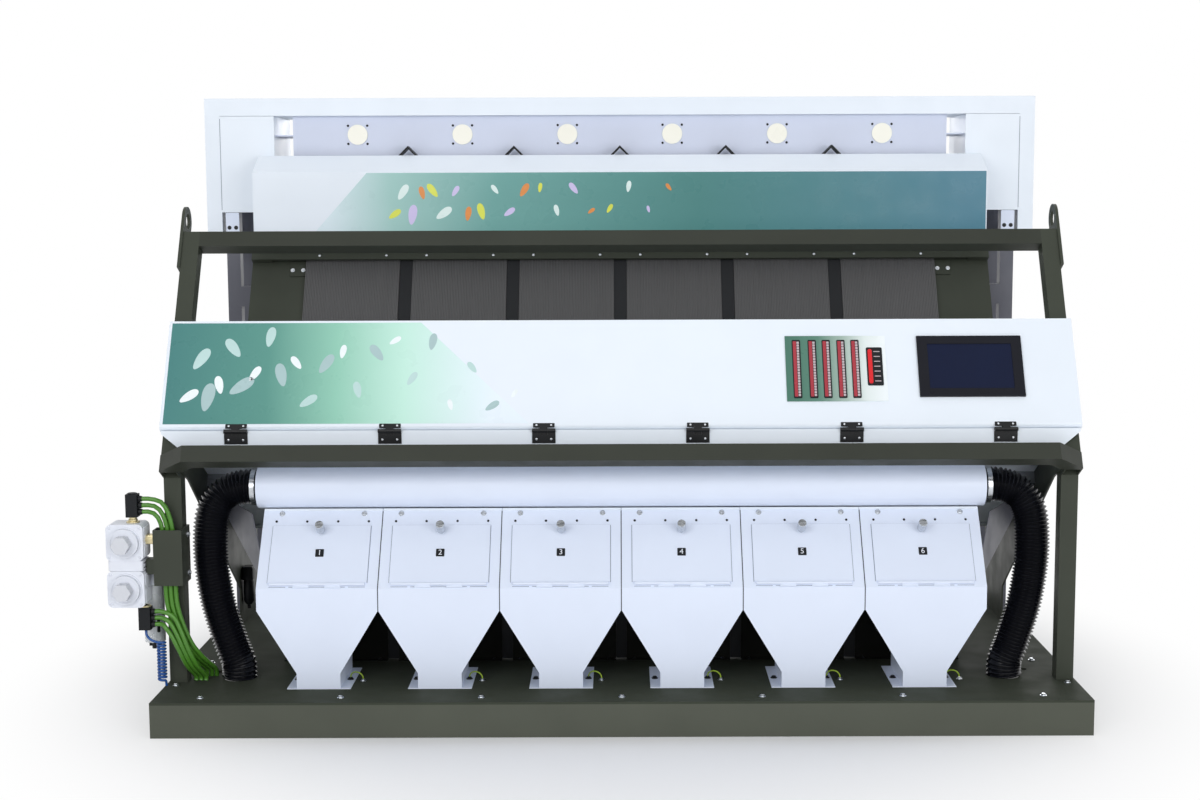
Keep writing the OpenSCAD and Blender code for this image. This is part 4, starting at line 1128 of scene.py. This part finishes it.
# Rings round the knobs: inner and outer radius, lower and upper face
COLLAR_D = REG_D - 0.012
COLLAR_RING = (0.0335, 0.0378, -0.002, 0.0018)
FACE_RING = (0.0385, 0.042, -0.0005, 0.003)
SIDE_PLATES = (
    (0.024, (0.050, 0.030, 0.003, -0.0005, 0.0014, 0.0006)),
    (-0.020, (0.050, 0.038, 0.003, -0.0005, 0.0014, 0.0006)),
)
CORNER_SCREW_IN = 0.039
CORNER_SCREW = 0.0035
MIDDLE_H = REG_H[0] + 0.0484
MIDDLE_W = 0.090
MIDDLE = (MIDDLE_W, 0.066, 0.006, 0, 0.0262)
unit_trim = bmesh.new()
for h in REG_H:
    washer(unit_trim, on_front(REG_X, COLLAR_D, h), *COLLAR_RING)
    washer(unit_trim, on_front(REG_X, REG_D, h), *FACE_RING)
    for y, plate in SIDE_PLATES:
        slab(unit_trim, on_right(REG_RIGHT, REG_MIDDLE_D, h), *plate, y=y)
    for s in SIDES:
        for k in SIDES:
            at = on_front(REG_X + s * CORNER_SCREW_IN, REG_D, h + k * CORNER_SCREW_IN)
            screw(unit_trim, at, CORNER_SCREW)
slab(unit_trim, on_top(REG_X, REG_MIDDLE_D, MIDDLE_H), *MIDDLE)
keep("regulator_trim", unit_trim, "white_plastic")

SLOT_D = REG_D + 0.030
SLOT_H = (0.320, 0.332)
SLOT = (0.036, 0.0028, 0.001, 0, 0.0003)
side_slots = bmesh.new()
for h in SLOT_H:
    slab(side_slots, on_right(REG_X + MIDDLE_W / 2, SLOT_D, h), *SLOT)
keep("regulator_slots", side_slots, "black_plastic")

# Ribs along the flats of the knobs
KNOB_SIDES = 6
KNOB_D = REG_D - 0.0288
KNOB_R = 0.024
KNOB_FLAT = KNOB_R * math.cos(math.pi / KNOB_SIDES)
GRIP_X = 0.0055
GRIP = (0.004, 0.027, 0.0012, -0.0003, 0.0010, 0.0005)
for body, h in zip(("knob_lower", "knob_upper"), REG_H):
    grips = bmesh.new()
    for k in range(KNOB_SIDES):
        a = math.pi / KNOB_SIDES * (2 * k + 1)
        out = Vector((math.cos(a), 0, math.sin(a)))
        flat = place(site(REG_X, KNOB_D, h) + KNOB_FLAT * out, out, Vector((0, -1, 0)))
        for s in SIDES:
            slab(grips, flat, *GRIP, x=s * GRIP_X)
    keep(f"{body}_grips", grips, "knob_plastic", body)

# Collars round the tubes' ends, and the plug on top of the upper fitting
TOP_PORT_X = -1.255
LOW_PORT_X = -1.231
COLLAR = [(0.0072, 0.0002), (0.0082, 0.0014), (0.0082, 0.0066), (0.0075, 0.0082), (0.0071, 0.0102)]
PLUG_H = 0.511
PLUG = [(0.0125, 0.0001), (0.0125, 0.002), (0.0105, 0.003)]
collars = bmesh.new()
for x, h in ((TOP_PORT_X, TOP_PORT_H), (LOW_PORT_X, LOW_PORT_H)):
    for k in PORTS:
        lathe(collars, on_right(x, FITTING_D, h + k * FITTING_STEP), COLLAR, SLEEVE_SIDES)
lathe(collars, on_top(TOP_FITTING_X, FITTING_D, PLUG_H), PLUG, SLEEVE_SIDES)
keep("tube_collars", collars, "black_plastic")

# Slots round the filter bowl
BOWL_X = -1.240
BOWL_D = 0.231
BOWL_H = 0.150
BOWL_R = 0.0262
BOWL_SLOTS = 4
BOWL_TURN = -55
BOWL_SLOT = (0.0085, 0.036, 0.003, 0, 0.0016, 0.0004)
bowl_slots = bmesh.new()
for k in range(BOWL_SLOTS):
    a = math.radians(BOWL_TURN + 360 / BOWL_SLOTS * k)
    out = Vector((math.sin(a), -math.cos(a), 0))
    at = place(site(BOWL_X, BOWL_D, BOWL_H) + BOWL_R * out, out, Vector((0, 0, 1)))
    slab(bowl_slots, at, *BOWL_SLOT)
keep("bowl_slots", bowl_slots, "black_plastic")

# Small line filter on the inside of the left side plate
FILTER_X = -1.128
FILTER_D = 0.876
FILTER_HEAD = (0.033, 0.036, 0.004, 0.130, 0.170, 0.003)
FILTER_BOWL = [
    (0.005, 0.040), (0.005, 0.052), (0.010, 0.054), (0.0155, 0.064), (0.0155, 0.122), (0.013, 0.131)
]
line_filter = bmesh.new()
slab(line_filter, on_top(FILTER_X, FILTER_D, 0), *FILTER_HEAD)
lathe(line_filter, on_top(FILTER_X, FILTER_D, 0), FILTER_BOWL, FITTING_SIDES)
keep("line_filter", line_filter, "black_plastic")


# Stage

WHITE = (1, 1, 1, 1)
FLOOR_TONE = (0.9, 0.9, 0.91, 1)
FLOOR_ROUGH = 0.8
FLOOR_SIZE = 60
# Distances from the middle between which the floor goes over to white
FADE_START = 0.8
FADE_END = 1.8
SKY_TONE = (0.93, 0.96, 1, 1)
SKY_POWER = 0.48


def combined(tree, operation, a, b):
    """Result of an operation on two values."""
    node = tree.nodes.new("ShaderNodeMath")
    node.operation = operation
    tree.links.new(a, node.inputs[0])
    tree.links.new(b, node.inputs[1])
    return node.outputs["Value"]


def seen_directly(tree):
    """1 for rays from the camera, and for those that a mirror or glass passes on."""
    path = tree.nodes.new("ShaderNodeLightPath")
    result = path.outputs["Is Camera Ray"]
    for name in ("Is Glossy Ray", "Is Transmission Ray"):
        result = combined(tree, "MAXIMUM", result, path.outputs[name])
    return result


def whiten(tree, kind, share, shader, end):
    """Mixes a shader with plain white by a share, and leads the mix to the output."""
    white = tree.nodes.new(kind)
    white.inputs["Color"].default_value = WHITE
    mix = tree.nodes.new("ShaderNodeMixShader")
    tree.links.new(share, mix.inputs["Fac"])
    tree.links.new(shader.outputs[0], mix.inputs[1])
    tree.links.new(white.outputs[0], mix.inputs[2])
    tree.links.new(mix.outputs["Shader"], tree.nodes[end].inputs["Surface"])


def studio_floor():
    """Pale floor that takes shadow near the machine and goes over to white away from it."""
    bm = bmesh.new()
    bmesh.ops.create_grid(bm, x_segments=2, y_segments=2, size=FLOOR_SIZE)
    mesh = bpy.data.meshes.new("floor")
    bm.to_mesh(mesh)
    bm.free()
    floor = bpy.data.objects.new("floor", mesh)
    scene.collection.objects.link(floor)
    made = bpy.data.materials.new("floor")
    made.use_nodes = True
    tree = made.node_tree
    lit = tree.nodes["Principled BSDF"]
    lit.inputs["Base Color"].default_value = FLOOR_TONE
    lit.inputs["Roughness"].default_value = FLOOR_ROUGH
    coords = tree.nodes.new("ShaderNodeTexCoord")
    away = tree.nodes.new("ShaderNodeVectorMath")
    away.operation = "LENGTH"
    tree.links.new(coords.outputs["Object"], away.inputs[0])
    fade = tree.nodes.new("ShaderNodeMapRange")
    fade.interpolation_type = "SMOOTHSTEP"
    fade.inputs["From Min"].default_value = FADE_START
    fade.inputs["From Max"].default_value = FADE_END
    tree.links.new(away.outputs["Value"], fade.inputs["Value"])
    share = combined(tree, "MULTIPLY", fade.outputs["Result"], seen_directly(tree))
    whiten(tree, "ShaderNodeEmission", share, lit, "Material Output")
    mesh.materials.append(made)


def studio_sky():
    """Soft light all round; white where it is seen."""
    sky = bpy.data.worlds.new("sky")
    scene.world = sky
    sky.use_nodes = True
    tree = sky.node_tree
    light = tree.nodes["Background"]
    light.inputs["Color"].default_value = SKY_TONE
    light.inputs["Strength"].default_value = SKY_POWER
    whiten(tree, "ShaderNodeBackground", seen_directly(tree), light, "World Output")


def soft_light(name, spot, aim, width, height, power):
    lamp = bpy.data.lights.new(name, "AREA")
    lamp.shape = "RECTANGLE"
    lamp.size = width
    lamp.size_y = height
    lamp.energy = power
    made = bpy.data.objects.new(name, lamp)
    made.location = spot
    made.rotation_euler = (Vector(aim) - Vector(spot)).to_track_quat("-Z", "Y").to_euler()
    made.visible_camera = False
    scene.collection.objects.link(made)


studio_floor()
studio_sky()
soft_light("key", spot=(-2.0, -5.2, 2.6), aim=(0, 0, 0.7), width=3.2, height=2.2, power=93)
soft_light("fill", spot=(2.6, -5.2, 1.7), aim=(0, 0, 0.7), width=3.2, height=2.2, power=81)
soft_light("top", spot=(0, 0.2, 4.6), aim=(0, 0, 0.8), width=4.0, height=2.6, power=36)
soft_light("rear", spot=(1.2, 5.4, 2.6), aim=(0, 0, 0.8), width=3.2, height=2.2, power=70)

scene.view_settings.view_transform = "Standard"
